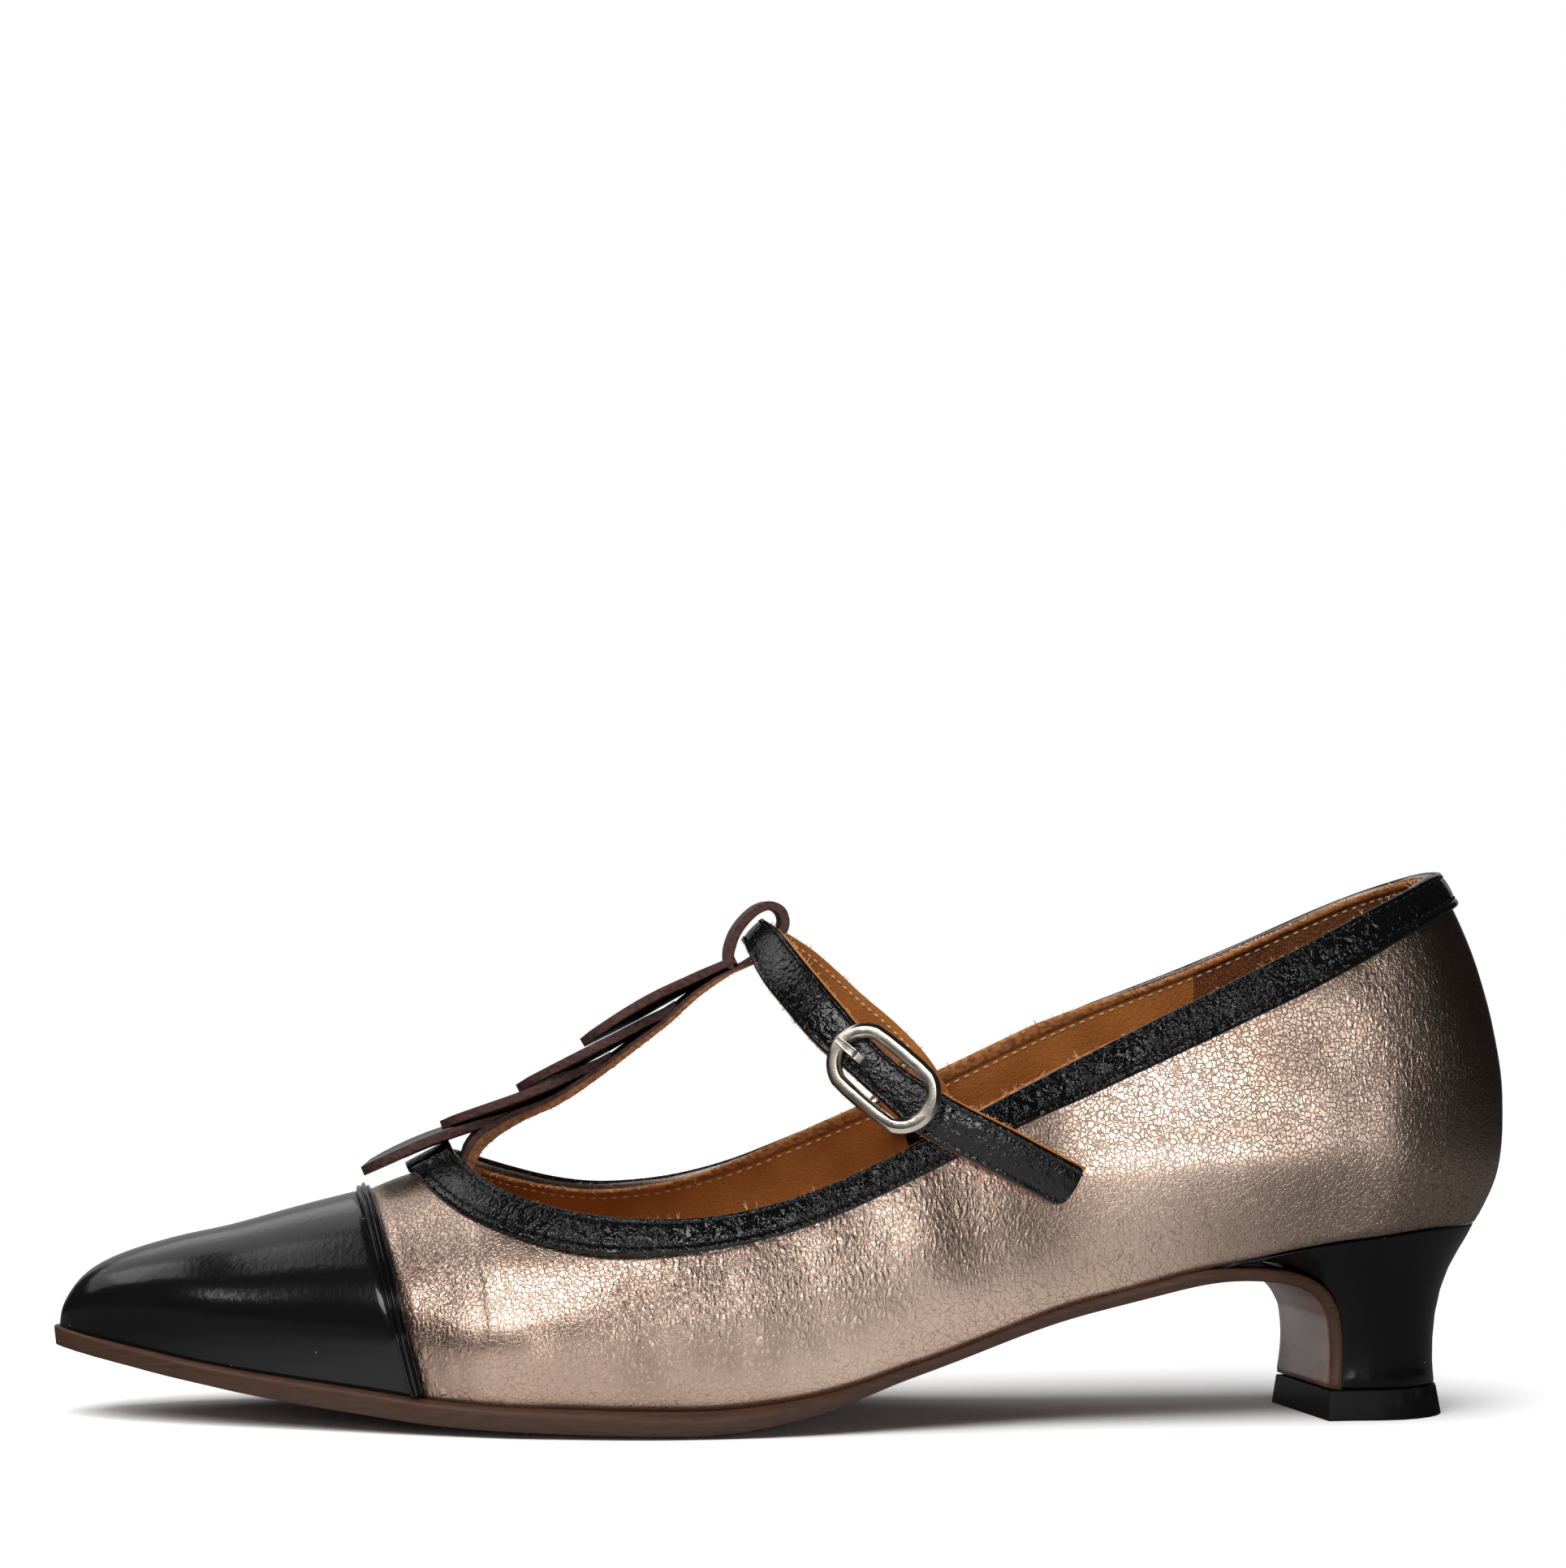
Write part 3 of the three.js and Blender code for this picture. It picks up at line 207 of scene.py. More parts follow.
def makeRose():             # pebbled above, finely crackled below, and reticulated where the foot bends it
    look, relief = roseLook, roseLook["relief"]
    material, tree, shader, place = startMaterial("roseMetallicLeather", Metallic=1.0, Roughness=0.3)
    flex, plain = [put(tree, "ShaderNodeAttribute", {"attribute_name": key}).outputs["Fac"]
                   for key in ("flex", "plain")]
    pebble = useGroup(tree, grainGroup, Vector=place, **look["pebble"])
    crackle = useGroup(tree, grainGroup, Vector=place, **look["crackle"])
    folds = stretched(tree, place, (1.0, 1.0, 0.45), (0.0, 0.3, 0.0))
    wrinkles = useGroup(tree, grainGroup, Vector=folds, **look["wrinkle"])
    rounded = times(tree, pebble["Height"], relief["pebbled"])
    flat = plus(tree, times(tree, crackle["Height"], relief["crackled"]),
                times(tree, pebble["Height"], relief["fine"]))
    folded = times(tree, wrinkles["Height"], times(tree, flex, relief["wrinkled"]))
    height = plus(tree, mixFloat(tree, plain, rounded, flat), folded)
    crease = mixFloat(tree, plain, pebble["Crease"], crackle["Crease"])
    crease = math2(tree, "MAXIMUM", crease, times(tree, wrinkles["Crease"], flex))
    zones = remap(tree, noiseAt(tree, place, 28.0, 2.0), 0.3, 0.7)
    tone = blendColour(tree, zones, look["foil"], look["shade"])
    # painted shade: the cell valleys and, where it flexes, the wrinkle creases are darkened towards the crack colour,
    # which is partly the cracked foil's own brown
    tone = blendColour(tree, times(tree, crease, look["crackAndShadeShare"]), tone, look["crackAndShade"])
    rough = remap(tree, pebble["Height"], 0.1, 1.1, *look["roughness"])
    plugIn(tree, shader, height, look["depth"], Base_Color=tone, Roughness=rough)
    return material


def makePatent(name, roughness, grain, depth):
    material, tree, shader, place = startMaterial(name, Roughness=roughness, Specular_IOR_Level=0.4)
    specks = useGroup(tree, dustGroup, Vector=place, Scale=240.0, Size=0.05)[0]
    tone = blendColour(tree, times(tree, specks, 0.6), (0.003, 0.003, 0.0032), (0.2, 0.18, 0.16))
    plugIn(tree, shader, noiseAt(tree, place, grain, 2.0), depth, Base_Color=tone)
    return material


def makeCrinkled(name, scale, depth):
    black = (0.0022, 0.0022, 0.0024, 1.0)
    material, tree, shader, place = startMaterial(
        name, Base_Color=black, Roughness=0.07, Specular_IOR_Level=0.45)
    broad = useGroup(tree, crinkleGroup, Vector=place, Scale=scale, Sharpness=0.6)[0]
    fine = useGroup(tree, crinkleGroup, Vector=place, Scale=scale * 2.3, Sharpness=0.8)[0]
    share = remap(tree, noiseAt(tree, place, 95.0, 2.0), 0.38, 0.62, 0.1, 0.6)
    plugIn(tree, shader, plus(tree, broad, times(tree, fine, share)), depth)
    return material


def makeTan(name, colour, dark, roughness, depth, scale, fuzz=0.0, grit=0.6):
    material, tree, shader, place = startMaterial(
        name, Roughness=roughness, Specular_IOR_Level=0.3, Sheen_Weight=fuzz, Sheen_Roughness=0.5)
    grain = useGroup(tree, grainGroup, Vector=place, Scale=scale, Valley=0.16, Grit=grit)
    tone = blendColour(tree, remap(tree, noiseAt(tree, place, 70.0, 4.0), 0.3, 0.7), colour, dark)
    tone = blendColour(tree, times(tree, grain["Crease"], 0.25), tone, dark)
    plugIn(tree, shader, grain["Height"], depth, Base_Color=tone)
    return material


def makeRawEdge(name, colour, dark, layers, roughness=0.62, depth=0.0002):
    material, tree, shader, place = startMaterial(name, Roughness=roughness, Specular_IOR_Level=0.3)
    fibres = noiseAt(tree, stretched(tree, place, layers), 900.0, 4.0)
    tone = blendColour(tree, remap(tree, fibres, 0.35, 0.68), colour, dark)
    plugIn(tree, shader, fibres, depth, Base_Color=tone)
    return material


def makeSole():
    material, tree, shader, place = startMaterial("soleLeather", Roughness=0.3, Specular_IOR_Level=0.5)
    fibres = noiseAt(tree, stretched(tree, place, (0.3, 1.0, 2.4)), 420.0, 4.0)
    patches = noiseAt(tree, place, 45.0, 3.0)
    tone = blendColour(tree, remap(tree, fibres, 0.35, 0.7), (0.13, 0.04, 0.024), (0.06, 0.019, 0.012))
    tone = blendColour(tree, remap(tree, patches, 0.45, 0.75, 0.0, 0.5), tone, (0.16, 0.075, 0.045))
    rough = remap(tree, patches, 0.3, 0.7, 0.2, 0.3)
    plugIn(tree, shader, fibres, 0.00002, Base_Color=tone, Roughness=rough)
    return material


def makeRubber():
    material, tree, shader, place = startMaterial("liftRubber", Roughness=0.6, Specular_IOR_Level=0.3)
    scuffs = remap(tree, noiseAt(tree, place, 160.0, 4.0), 0.55, 0.8)
    tone = blendColour(tree, scuffs, (0.002, 0.002, 0.002), (0.012, 0.0115, 0.011))
    plugIn(tree, shader, noiseAt(tree, place, 1800.0, 2.0), 0.00005, Base_Color=tone)
    return material


def makeSilver():
    material, tree, shader, place = startMaterial("antiqueSilver", Metallic=1.0, Roughness=0.22)
    tarnish = noiseAt(tree, place, 150.0, 2.0)
    scratches = noiseAt(tree, stretched(tree, place, (1.0, 1.0, 9.0)), 700.0, 2.0)
    tone = blendColour(tree, remap(tree, tarnish, 0.42, 0.7), (0.66, 0.605, 0.525), (0.42, 0.37, 0.305))
    rough = remap(tree, tarnish, 0.3, 0.7, 0.16, 0.27)
    plugIn(tree, shader, scratches, 0.000006, Base_Color=tone, Roughness=rough)
    return material


def makeThread(name, colour, dark):
    material, tree, shader, place = startMaterial(name, Roughness=0.6)
    twist = noiseAt(tree, place, 3500.0, 1.0)
    plugIn(tree, shader, twist, 0.00005, Base_Color=blendColour(tree, twist, dark, colour))
    return material


finishes = {
    "rose": makeRose(),
    "cap": makePatent("capPatent", 0.17, 900.0, 0.00003),
    "heel": makePatent("heelPatent", 0.15, 500.0, 0.00004),
    "trim": makeCrinkled("trimPatent", 620.0, 0.00036),
    "strap": makeCrinkled("strapPatent", 700.0, 0.0002),
    "piping": makePatent("pipingPatent", 0.12, 900.0, 0.00005),
    "petalFace": makePatent("petalGloss", 0.2, 800.0, 0.00006),
    "lining": makeTan("tanLining", (0.38, 0.14, 0.032), (0.25, 0.082, 0.016), 0.46, 0.00004, 900.0),
    "suede": makeTan("tanSuede", (0.31, 0.10, 0.02), (0.15, 0.042, 0.008), 0.95, 0.0005, 800.0, 0.06, 1.6),
    "rawTan": makeRawEdge("rawTanEdge", (0.33, 0.135, 0.042), (0.15, 0.053, 0.016), (1.0, 1.0, 1.6)),
    "barSuede": makeRawEdge("barSuede", (0.20, 0.074, 0.021), (0.10, 0.034, 0.010), (1.0, 1.0, 1.6)),
    "rawBrown": makeRawEdge("rawBrownEdge", (0.062, 0.026, 0.02), (0.026, 0.011, 0.009), (1.0, 1.0, 2.0)),
    "soleEdge": makeRawEdge("soleEdge",
                            (0.046, 0.021, 0.011), (0.033, 0.0145, 0.008), (0.25, 0.25, 2.2), 0.46, 0.00004),
    "sole": makeSole(),
    "rubber": makeRubber(),
    "silver": makeSilver(),
    "creamThread": makeThread("creamThread", (0.66, 0.50, 0.30), (0.42, 0.28, 0.14)),
    "fibre": makeThread("looseFibre", (0.55, 0.40, 0.24), (0.36, 0.20, 0.09)),
    "blackThread": makeThread("blackThread", (0.006, 0.006, 0.0065), (0.002, 0.002, 0.002)),
}
print("finishes made")


# Mesh helpers

def copyOf(name):           # a welded copy of a CAD node
    bm = bmesh.new()
    bm.from_mesh(nodes[name].data)
    bmesh.ops.remove_doubles(bm, verts=bm.verts[:], dist=2e-6)
    return bm


def quadCopy(name):
    bm = copyOf(name)
    bmesh.ops.join_triangles(bm, faces=bm.faces[:], angle_face_threshold=math.radians(60),
                             angle_shape_threshold=math.radians(80))
    return bm


def creaseSharp(bm, angle, weight):
    layer = bm.edges.layers.float.get("crease_edge") or bm.edges.layers.float.new("crease_edge")
    for edge in bm.edges:
        if edge.is_manifold and edge.calc_face_angle(0.0) > math.radians(angle):
            edge[layer] = weight


def applied(obj):           # a new mesh with the modifiers applied
    bpy.context.view_layer.update()
    evaluated = obj.evaluated_get(bpy.context.evaluated_depsgraph_get())
    mesh = bpy.data.meshes.new_from_object(evaluated)
    obj.modifiers.clear()
    obj.data = mesh
    return obj


def fitCage(obj, rounds=3):  # moves the cage until its smoothed surface runs through the CAD points
    goals = [v.co.copy() for v in obj.data.vertices]
    for _ in range(rounds):
        obj.update_tag()
        bpy.context.view_layer.update()
        smooth = obj.evaluated_get(bpy.context.evaluated_depsgraph_get()).data
        shifts = [goal - smooth.vertices[i].co for i, goal in enumerate(goals)]
        for vert, shift, goal in zip(obj.data.vertices, shifts, goals):
            push = vert.co + shift * 0.75 - goal
            vert.co = goal + (push if push.length < 0.0007 else push.normalized() * 0.0007)
        obj.data.update()


def showPiece(bm, name, materials, replaced=(), subdivide=0, smooth=True,
              apply=False, fit=False, round=0.0):
    mesh = bpy.data.meshes.new(name)
    bm.normal_update()
    bm.to_mesh(mesh)
    bm.free()
    obj = bpy.data.objects.new(name, mesh)
    bpy.context.scene.collection.objects.link(obj)
    for key in materials:
        mesh.materials.append(finishes[key])
    if smooth:
        mesh.shade_smooth()
    if subdivide:
        modifier = obj.modifiers.new("subdivide", "SUBSURF")
        modifier.levels = modifier.render_levels = subdivide
        if fit:
            fitCage(obj)
        if apply:
            applied(obj)
    if round:
        modifier = obj.modifiers.new("round", "BEVEL")
        modifier.width, modifier.segments = round, 3
        modifier.limit_method, modifier.angle_limit = "ANGLE", math.radians(38)
        modifier.harden_normals = True
    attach(obj, "root")
    if replaced:
        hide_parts(*replaced)
    return obj


def editMesh(obj, change):  # runs a change over a mesh as a bmesh
    bm = bmesh.new()
    bm.from_mesh(obj.data)
    bm.normal_update()
    change(bm)
    bm.to_mesh(obj.data)
    bm.free()
    obj.data.update()


def sharpChains(bm, angle):  # runs of sharp edges, split where more than two meet
    sharp = [e for e in bm.edges if e.is_manifold and e.calc_face_angle(0.0) > math.radians(angle)]
    meet = {}
    for edge in sharp:
        for vert in edge.verts:
            meet.setdefault(vert, []).append(edge)
    used, chains = set(), []
    starts = [v for v in meet if len(meet[v]) != 2] + [v for v in meet if len(meet[v]) == 2]
    for start in starts:
        for first in meet[start]:
            if first in used:
                continue
            chain, vert, edge = [start.co.copy()], start, first
            while edge is not None and edge not in used:
                used.add(edge)
                vert = edge.other_vert(vert)
                chain.append(vert.co.copy())
                onward = [e for e in meet[vert] if e not in used]
                edge = onward[0] if len(meet[vert]) == 2 and onward else None
            chains.append(chain)
    return chains


def lengthOf(points):
    return sum((b - a).length for a, b in zip(points, points[1:]))


def resample(points, count, closed=False):  # even points on a Catmull-Rom curve through the given ones
    pts = points[:-1] if closed and (points[0] - points[-1]).length < 1e-7 else points
    total = len(pts)
    dense = []
    spans = total if closed else total - 1
    for i in range(spans):
        p = [pts[(i + k - 1) % total] if closed else pts[min(max(i + k - 1, 0), total - 1)] for k in range(4)]
        for j in range(8):
            t = j / 8
            a = 2 * p[1]
            b = (p[2] - p[0]) * t
            c = (2 * p[0] - 5 * p[1] + 4 * p[2] - p[3]) * t * t
            d = (3 * p[1] - p[0] - 3 * p[2] + p[3]) * t ** 3
            dense.append((a + b + c + d) * 0.5)
    dense.append(pts[0] if closed else pts[-1])
    lengths = [0.0]
    for a, b in zip(dense, dense[1:]):
        lengths.append(lengths[-1] + (b - a).length)
    result, at = [], 0
    steps = count if closed else count - 1
    for i in range(count):
        goal = lengths[-1] * i / steps
        while at < len(lengths) - 2 and lengths[at + 1] < goal:
            at += 1
        span = max(lengths[at + 1] - lengths[at], 1e-9)
        result.append(dense[at].lerp(dense[at + 1], min(1.0, (goal - lengths[at]) / span)))
    return result


def stripFrames(name, count, outward, angle=50):  # frames along a flat strip from its four long edges
    bm = copyOf(name)
    chains = sorted(sharpChains(bm, angle), key=lengthOf)[-4:]
    bm.free()
    first = chains[0]
    for i in range(1, 4):
        if (chains[i][0] - first[0]).length > (chains[i][-1] - first[0]).length:
            chains[i].reverse()
    rails = [resample(chain, count) for chain in chains]
    middle = count // 2
    partner = min(range(1, 4), key=lambda i: (rails[i][middle] - rails[0][middle]).length)
    others = [i for i in range(1, 4) if i != partner]
    pairs = [[rails[0], rails[partner]], [rails[i] for i in others]]
    centre = sum((r[middle] for r in rails), Vector()) / 4
    for pair in pairs:
        pair.sort(key=lambda rail: -(rail[middle] - centre).dot(outward(centre)))
    result = []
    for i in range(count):
        topA, lowA = pairs[0][0][i], pairs[0][1][i]
        topB, lowB = pairs[1][0][i], pairs[1][1][i]
        middleAt = (topA + lowA + topB + lowB) / 4
        across = (topB + lowB - topA - lowA) / 4
        normal = (topA + topB - lowA - lowB) / 4
        result.append([middleAt, across, normal])
    return result


def frameMatrix(centre, across, normal):
    tangent = across.cross(normal).normalized() * across.length
    m = Matrix.Identity(4)
    for column, vector in enumerate((across, normal, tangent, centre)):
        for row in range(3):
            m[row][column] = vector[row]
    return m


def sweep(bm, profile, frames, closed=False, material=0):  # extrudes a profile ring from frame to frame
    first = frameMatrix(*frames[0])
    ring = [bm.verts.new(first @ Vector((x, y, 0))) for x, y in profile]
    startEdges = [bm.edges.new((ring[i], ring[(i + 1) % len(ring)])) for i in range(len(ring))]
    known = set(bm.faces)
    if not closed:
        bmesh.ops.contextual_create(bm, geom=startEdges)
    edges = startEdges
    for before, after in zip(frames, frames[1:]):
        made = bmesh.ops.extrude_edge_only(bm, edges=edges)["geom"]
        verts = [g for g in made if isinstance(g, bmesh.types.BMVert)]
        edges = [g for g in made if isinstance(g, bmesh.types.BMEdge)]
        bmesh.ops.transform(bm, matrix=frameMatrix(*after) @ frameMatrix(*before).inverted(), verts=verts)
    if closed:
        bmesh.ops.bridge_loops(bm, edges=startEdges + edges)
    else:
        bmesh.ops.contextual_create(bm, geom=edges)
    fresh = [f for f in bm.faces if f not in known]
    for face in fresh:
        face.material_index = material
    bmesh.ops.recalc_face_normals(bm, faces=fresh)
    return fresh


def addStitches(bm, places, size):  # small pressed stitches: place, run, out
    for place, run, out in places:
        turn = frameMatrix(place, run.normalized() * size["length"] / 2, out.normalized() * size["height"] / 2)
        side = run.cross(out).normalized() * size["width"] / 2
        for row in range(3):
            turn[row][2] = side[row]
        bmesh.ops.create_uvsphere(bm, u_segments=6, v_segments=4, radius=1.0, matrix=turn)


def stitchRow(points, outs, pitch):  # even places along a polyline, with the direction out of the surface
    total = lengthOf(points)
    places, run, at = [], 0.0, pitch / 2
    for i in range(len(points) - 1):
        span = (points[i + 1] - points[i]).length
        while at <= run + span and span > 0:
            t = (at - run) / span
            places.append((points[i].lerp(points[i + 1], t), points[i + 1] - points[i], outs[i].lerp(outs[i + 1], t)))
            at += pitch
        run += span
    return places


# Camera

cameraSetting = {"place": (-0.19267, -0.79562, 0.0925), "azimuth": 6.0, "roll": 0.35, "focus": 5472.0, "centre": (960.0, 1107.0), "image": (1929.0, 1932.0)}


def makeCamera():
    c = cameraSetting
    turn, roll = math.radians(c["azimuth"]), math.radians(c["roll"])
    ahead = Vector((math.sin(turn), math.cos(turn), 0))
    right = Vector((math.cos(turn), -math.sin(turn), 0))
    up = Vector((0, 0, 1))
    dx, dy = c["image"][0] / 2 - c["centre"][0], c["image"][1] / 2 - c["centre"][1]
    a = math.cos(roll) * dx + math.sin(roll) * dy
    b = -math.sin(roll) * dx + math.cos(roll) * dy
    look = (ahead + right * a / c["focus"] - up * b / c["focus"]).normalized()
    imageRight = right * math.cos(roll) + up * math.sin(roll)
    side = (imageRight - look * imageRight.dot(look)).normalized()
    top = side.cross(look)
    data = bpy.data.cameras.new("camera")
    data.sensor_width = 36.0
    data.lens = 36.0 * c["focus"] / c["image"][1]
    data.clip_start, data.clip_end = 0.05, 20.0
    camera = bpy.data.objects.new("camera", data)
    camera.matrix_world = Matrix((
        (side.x, top.x, -look.x, c["place"][0]),
        (side.y, top.y, -look.y, c["place"][1]),
        (side.z, top.z, -look.z, c["place"][2]),
        (0, 0, 0, 1),
    ))
    bpy.context.scene.collection.objects.link(camera)
    bpy.context.scene.camera = camera


makeCamera()

# Upper

upperForm = {
    "grip": 57.0,           # the suede heel grip ends here, mm along
    # soft troughs (+) and ridges (-): from, to as (along, height), half width and depth, all in mm
    "creases": [
        {"a": (199, 31), "b": (193, 25), "wide": 3.5, "deep": 0.6, "flex": 0.5},
        {"a": (194, 25), "b": (178, 24), "wide": 3.4, "deep": 0.8, "flex": 0.3},
        {"a": (189, 15), "b": (181, 13.5), "wide": 7.5, "deep": -2.2, "flex": 0.0},
        {"a": (197, 41), "b": (186, 38), "wide": 5.0, "deep": -1.0, "flex": 0.0},
        {"a": (196, 21), "b": (197, 10), "wide": 1.5, "deep": 0.3, "flex": 1.0},
        {"a": (193, 18), "b": (194, 8), "wide": 1.4, "deep": 0.3, "flex": 1.0},
        {"a": (190, 15), "b": (190, 8), "wide": 1.4, "deep": 0.25, "flex": 0.8},
        {"a": (205, 24), "b": (201, 12), "wide": 3.0, "deep": 0.2, "flex": 0.7},
        {"a": (176, 18), "b": (172, 12), "wide": 3.0, "deep": 0.35, "flex": 0.4},
        {"a": (170, 30), "b": (166, 27), "wide": 5.5, "deep": -0.2, "flex": 0.3},
        {"a": (162, 24), "b": (160, 13), "wide": 4.0, "deep": 0.4, "flex": 0.9},
        {"a": (154, 30), "b": (150, 16), "wide": 3.0, "deep": -0.45, "flex": 1.0},
        {"a": (148, 30), "b": (145, 14), "wide": 2.6, "deep": 0.4, "flex": 1.0},
        {"a": (142, 32), "b": (138, 15), "wide": 2.8, "deep": -0.3, "flex": 1.0},
        {"a": (136, 33), "b": (131, 17), "wide": 3.0, "deep": 0.45, "flex": 1.0},
        {"a": (128, 36), "b": (124, 20), "wide": 3.2, "deep": -0.3, "flex": 0.9},
        {"a": (122, 34), "b": (117, 24), "wide": 4.0, "deep": 0.5, "flex": 0.8},
        {"a": (113, 44), "b": (110, 30), "wide": 3.4, "deep": -0.6, "flex": 0.8},
        {"a": (107, 45), "b": (102, 31), "wide": 3.4, "deep": 0.7, "flex": 0.9},
        {"a": (97, 42), "b": (94, 33), "wide": 4.2, "deep": -0.5, "flex": 0.5},
        {"a": (84, 52), "b": (66, 58), "wide": 6.0, "deep": 0.35, "flex": 0.0},
        {"a": (80, 45), "b": (40, 48), "wide": 5.5, "deep": -0.5, "flex": 0.0},
        {"a": (62, 31), "b": (40, 36), "wide": 5.0, "deep": 0.3, "flex": 0.0},
        {"a": (32, 86), "b": (24, 66), "wide": 5.0, "deep": 0.55, "flex": 0.5},
        {"a": (20, 84), "b": (14, 66), "wide": 4.0, "deep": -0.35, "flex": 0.5},
        {"a": (36, 66), "b": (20, 60), "wide": 7.0, "deep": 0.9, "flex": 0.2},
        {"a": (70, 46), "b": (26, 48), "wide": 6.0, "deep": -0.7, "flex": 0.0},
    ],
}


def creaseAt(co):           # depth in mm and flex of the creases at a place
    u, z = alongOf(co), co.z / mm
    depth, flex = 0.0, 0.0
    for row in upperForm["creases"]:
        ax, az = row["a"]
        bx, bz = row["b"]
        lx, lz = bx - ax, bz - az
        t = max(0.0, min(1.0, ((u - ax) * lx + (z - az) * lz) / (lx * lx + lz * lz)))
        away = math.hypot(u - ax - lx * t, z - az - lz * t) / row["wide"]
        fall = math.exp(-away * away)
        depth += row["deep"] * fall
        flex = max(flex, row["flex"] * math.exp(-away * away * 0.3))
    return depth, flex


def isInside(co, normal):   # faces that look at the foot
    u = alongOf(co)
    if u > 185 and normal.x < -0.6:
        return False
    heartY = 0.0 if u < 130 else 0.004 + (u - 130) * 0.00003
    heartZ = max(0.011, min(co.z, 0.045 - u * 0.00016))
    heart = Vector((min(co.x, heelBack - 0.03), heartY, heartZ))
    return (co - heart).dot(normal) < 0


def plainAt(co):            # 1 where the leather shows a smooth crackle, 0 where it is pebbled
    u, z = alongOf(co), co.z / mm
    low = 1 / (1 + math.exp((z - 38 - max(0, 120 - u) * 0.1) / 4))
    middle = 1 / (1 + math.exp((u - 126) / 7)) / (1 + math.exp((52 - u) / 7))
    bulge = math.exp(-((u - 184) / 9) ** 2 - ((z - 17) / 6) ** 2)
    return max(low * middle, 0.6 / (1 + math.exp((z - 15) / 3)), bulge)


def dressUpper():
    bm = quadCopy("upper")
    creaseSharp(bm, 50, 0.7)
    for face in bm.faces:
        centre = face.calc_center_median()
        if isInside(centre, face.normal):
            face.material_index = 2 if alongOf(centre) < upperForm["grip"] else 1
    obj = showPiece(bm, "upperLeather", ["rose", "lining", "suede"], ["upper"], subdivide=2, apply=True, fit=True)

    def change(bm):
        flexLayer = bm.verts.layers.float.new("flex")
        plainLayer = bm.verts.layers.float.new("plain")
        for vert in bm.verts:
            depth, flex = creaseAt(vert.co) if vert.co.y < 0 else creaseAt(vert.co + Vector((0.003, 0, 0.002)))
            inside = isInside(vert.co, vert.normal)
            gentle = noise.noise(vert.co * 42) * 0.45 + noise.noise(vert.co * 110 + Vector((3, 1, 7))) * 0.2
            shift = (depth * 0.65 + gentle) * mm
            vert[flexLayer], vert[plainLayer] = flex, plainAt(vert.co)
            vert.co -= vert.normal * (-shift if inside else shift) * 0.8
    editMesh(obj, change)
    return obj


upperPiece = dressUpper()
print("upper dressed")

# Cap, heel, lift, sole, footbed

def dressCopy(node, name, materials, angle=45, weight=0.6, subdivide=2, choose=None, round=0.0, shape=None):
    bm = quadCopy(node)
    if shape:
        shape(bm)
    creaseSharp(bm, angle, weight)
    if choose:
        for face in bm.faces:
            face.material_index = choose(face.calc_center_median(), face.normal)
    return showPiece(bm, name, materials, [node], subdivide=0 if round else subdivide, fit=not round, round=round)


def crownCap(bm):           # fills the cap's crown a little
    for vert in bm.verts:
        away = math.hypot((alongOf(vert.co) - 230) / 13, (vert.co.y / mm - 4) / 16)
        vert.co.z += 0.0010 * math.exp(-away * away) * min(1, max(0, (vert.co.z - 0.012) / 0.012))


dressCopy("toe_cap", "toeCap", ["cap"], weight=0.8, shape=crownCap)
dressCopy("heel", "heelCover", ["heel"], round=0.0004)
dressCopy("top_lift", "topLift", ["rubber"], round=0.00025)
dressCopy("insole", "footbed", ["lining"], weight=0.8)


def soleFace(centre, normal):
    if normal.z < -0.6 or alongOf(centre) < 60:
        return 1 if abs(normal.y) < 0.6 else 0
    return 0


def reachUp(bm):             # the sole's hidden face sinks into the heel and the upper
    bm.normal_update()
    for vert, push in [(v, v.normal * 0.0005) for v in bm.verts if v.normal.z > 0.4 or (v.normal.x > 0.4 and alongOf(v.co) < 70)]:
        vert.co += push


dressCopy("outsole", "outsoleLeather", ["soleEdge", "sole"], choose=soleFace, weight=0.5, shape=reachUp)


pipingForm = {
    "count": 110,
    "across": 0.00125,
    "out": 0.0007,
    "lift": 0.00045,
    # cap edge, groove, bead, groove, folded edge: across, out
    "profile": [(-1.0, -1.6), (-1.0, -0.1), (-0.86, 0.45), (-0.66, 0.6), (-0.5, 0.3), (-0.42, 0.0), (-0.34, 0.3), (-0.2, 1.1), (0.0, 1.35),
                (0.2, 1.1), (0.33, 0.3), (0.42, 0.0), (0.5, 0.25), (0.62, 0.7), (0.78, 0.6), (0.92, 0.0), (1.35, -0.55), (1.4, -1.6)],
}


def dressPiping():
    bm = copyOf("cap_piping")
    chains = [c for c in sharpChains(bm, 35) if lengthOf(c) > 0.09]
    bm.free()
    for chain in chains:
        if chain[0].y > chain[-1].y:
            chain.reverse()
    rails = [resample(chain, pipingForm["count"]) for chain in chains]
    line = [sum(points, Vector()) / len(rails) for points in zip(*rails)]
    frames = []
    for i, at in enumerate(line):
        run = (line[min(i + 1, len(line) - 1)] - line[max(i - 1, 0)]).normalized()
        out = at - Vector((at.x, 0.004, 0.010))
        out = (out - run * out.dot(run)).normalized()
        across = run.cross(out).normalized()
        if across.x < 0:
            across.negate()
        frames.append([at + out * pipingForm["lift"], across * pipingForm["across"], out * pipingForm["out"]])
    for end, step in ((0, 1), (-1, -2)):
        beyond = (frames[end][0] - frames[end + step if end == 0 else step][0]).normalized() * 0.0012
        frames.insert(0 if end == 0 else len(frames), [frames[end][0] + beyond, frames[end][1], frames[end][2]])
    bm = bmesh.new()
    sweep(bm, pipingForm["profile"], frames)
    showPiece(bm, "capPiping", ["piping"], ["cap_piping"], subdivide=1)


dressPiping()
print("lasted pieces dressed")


# Topline binding

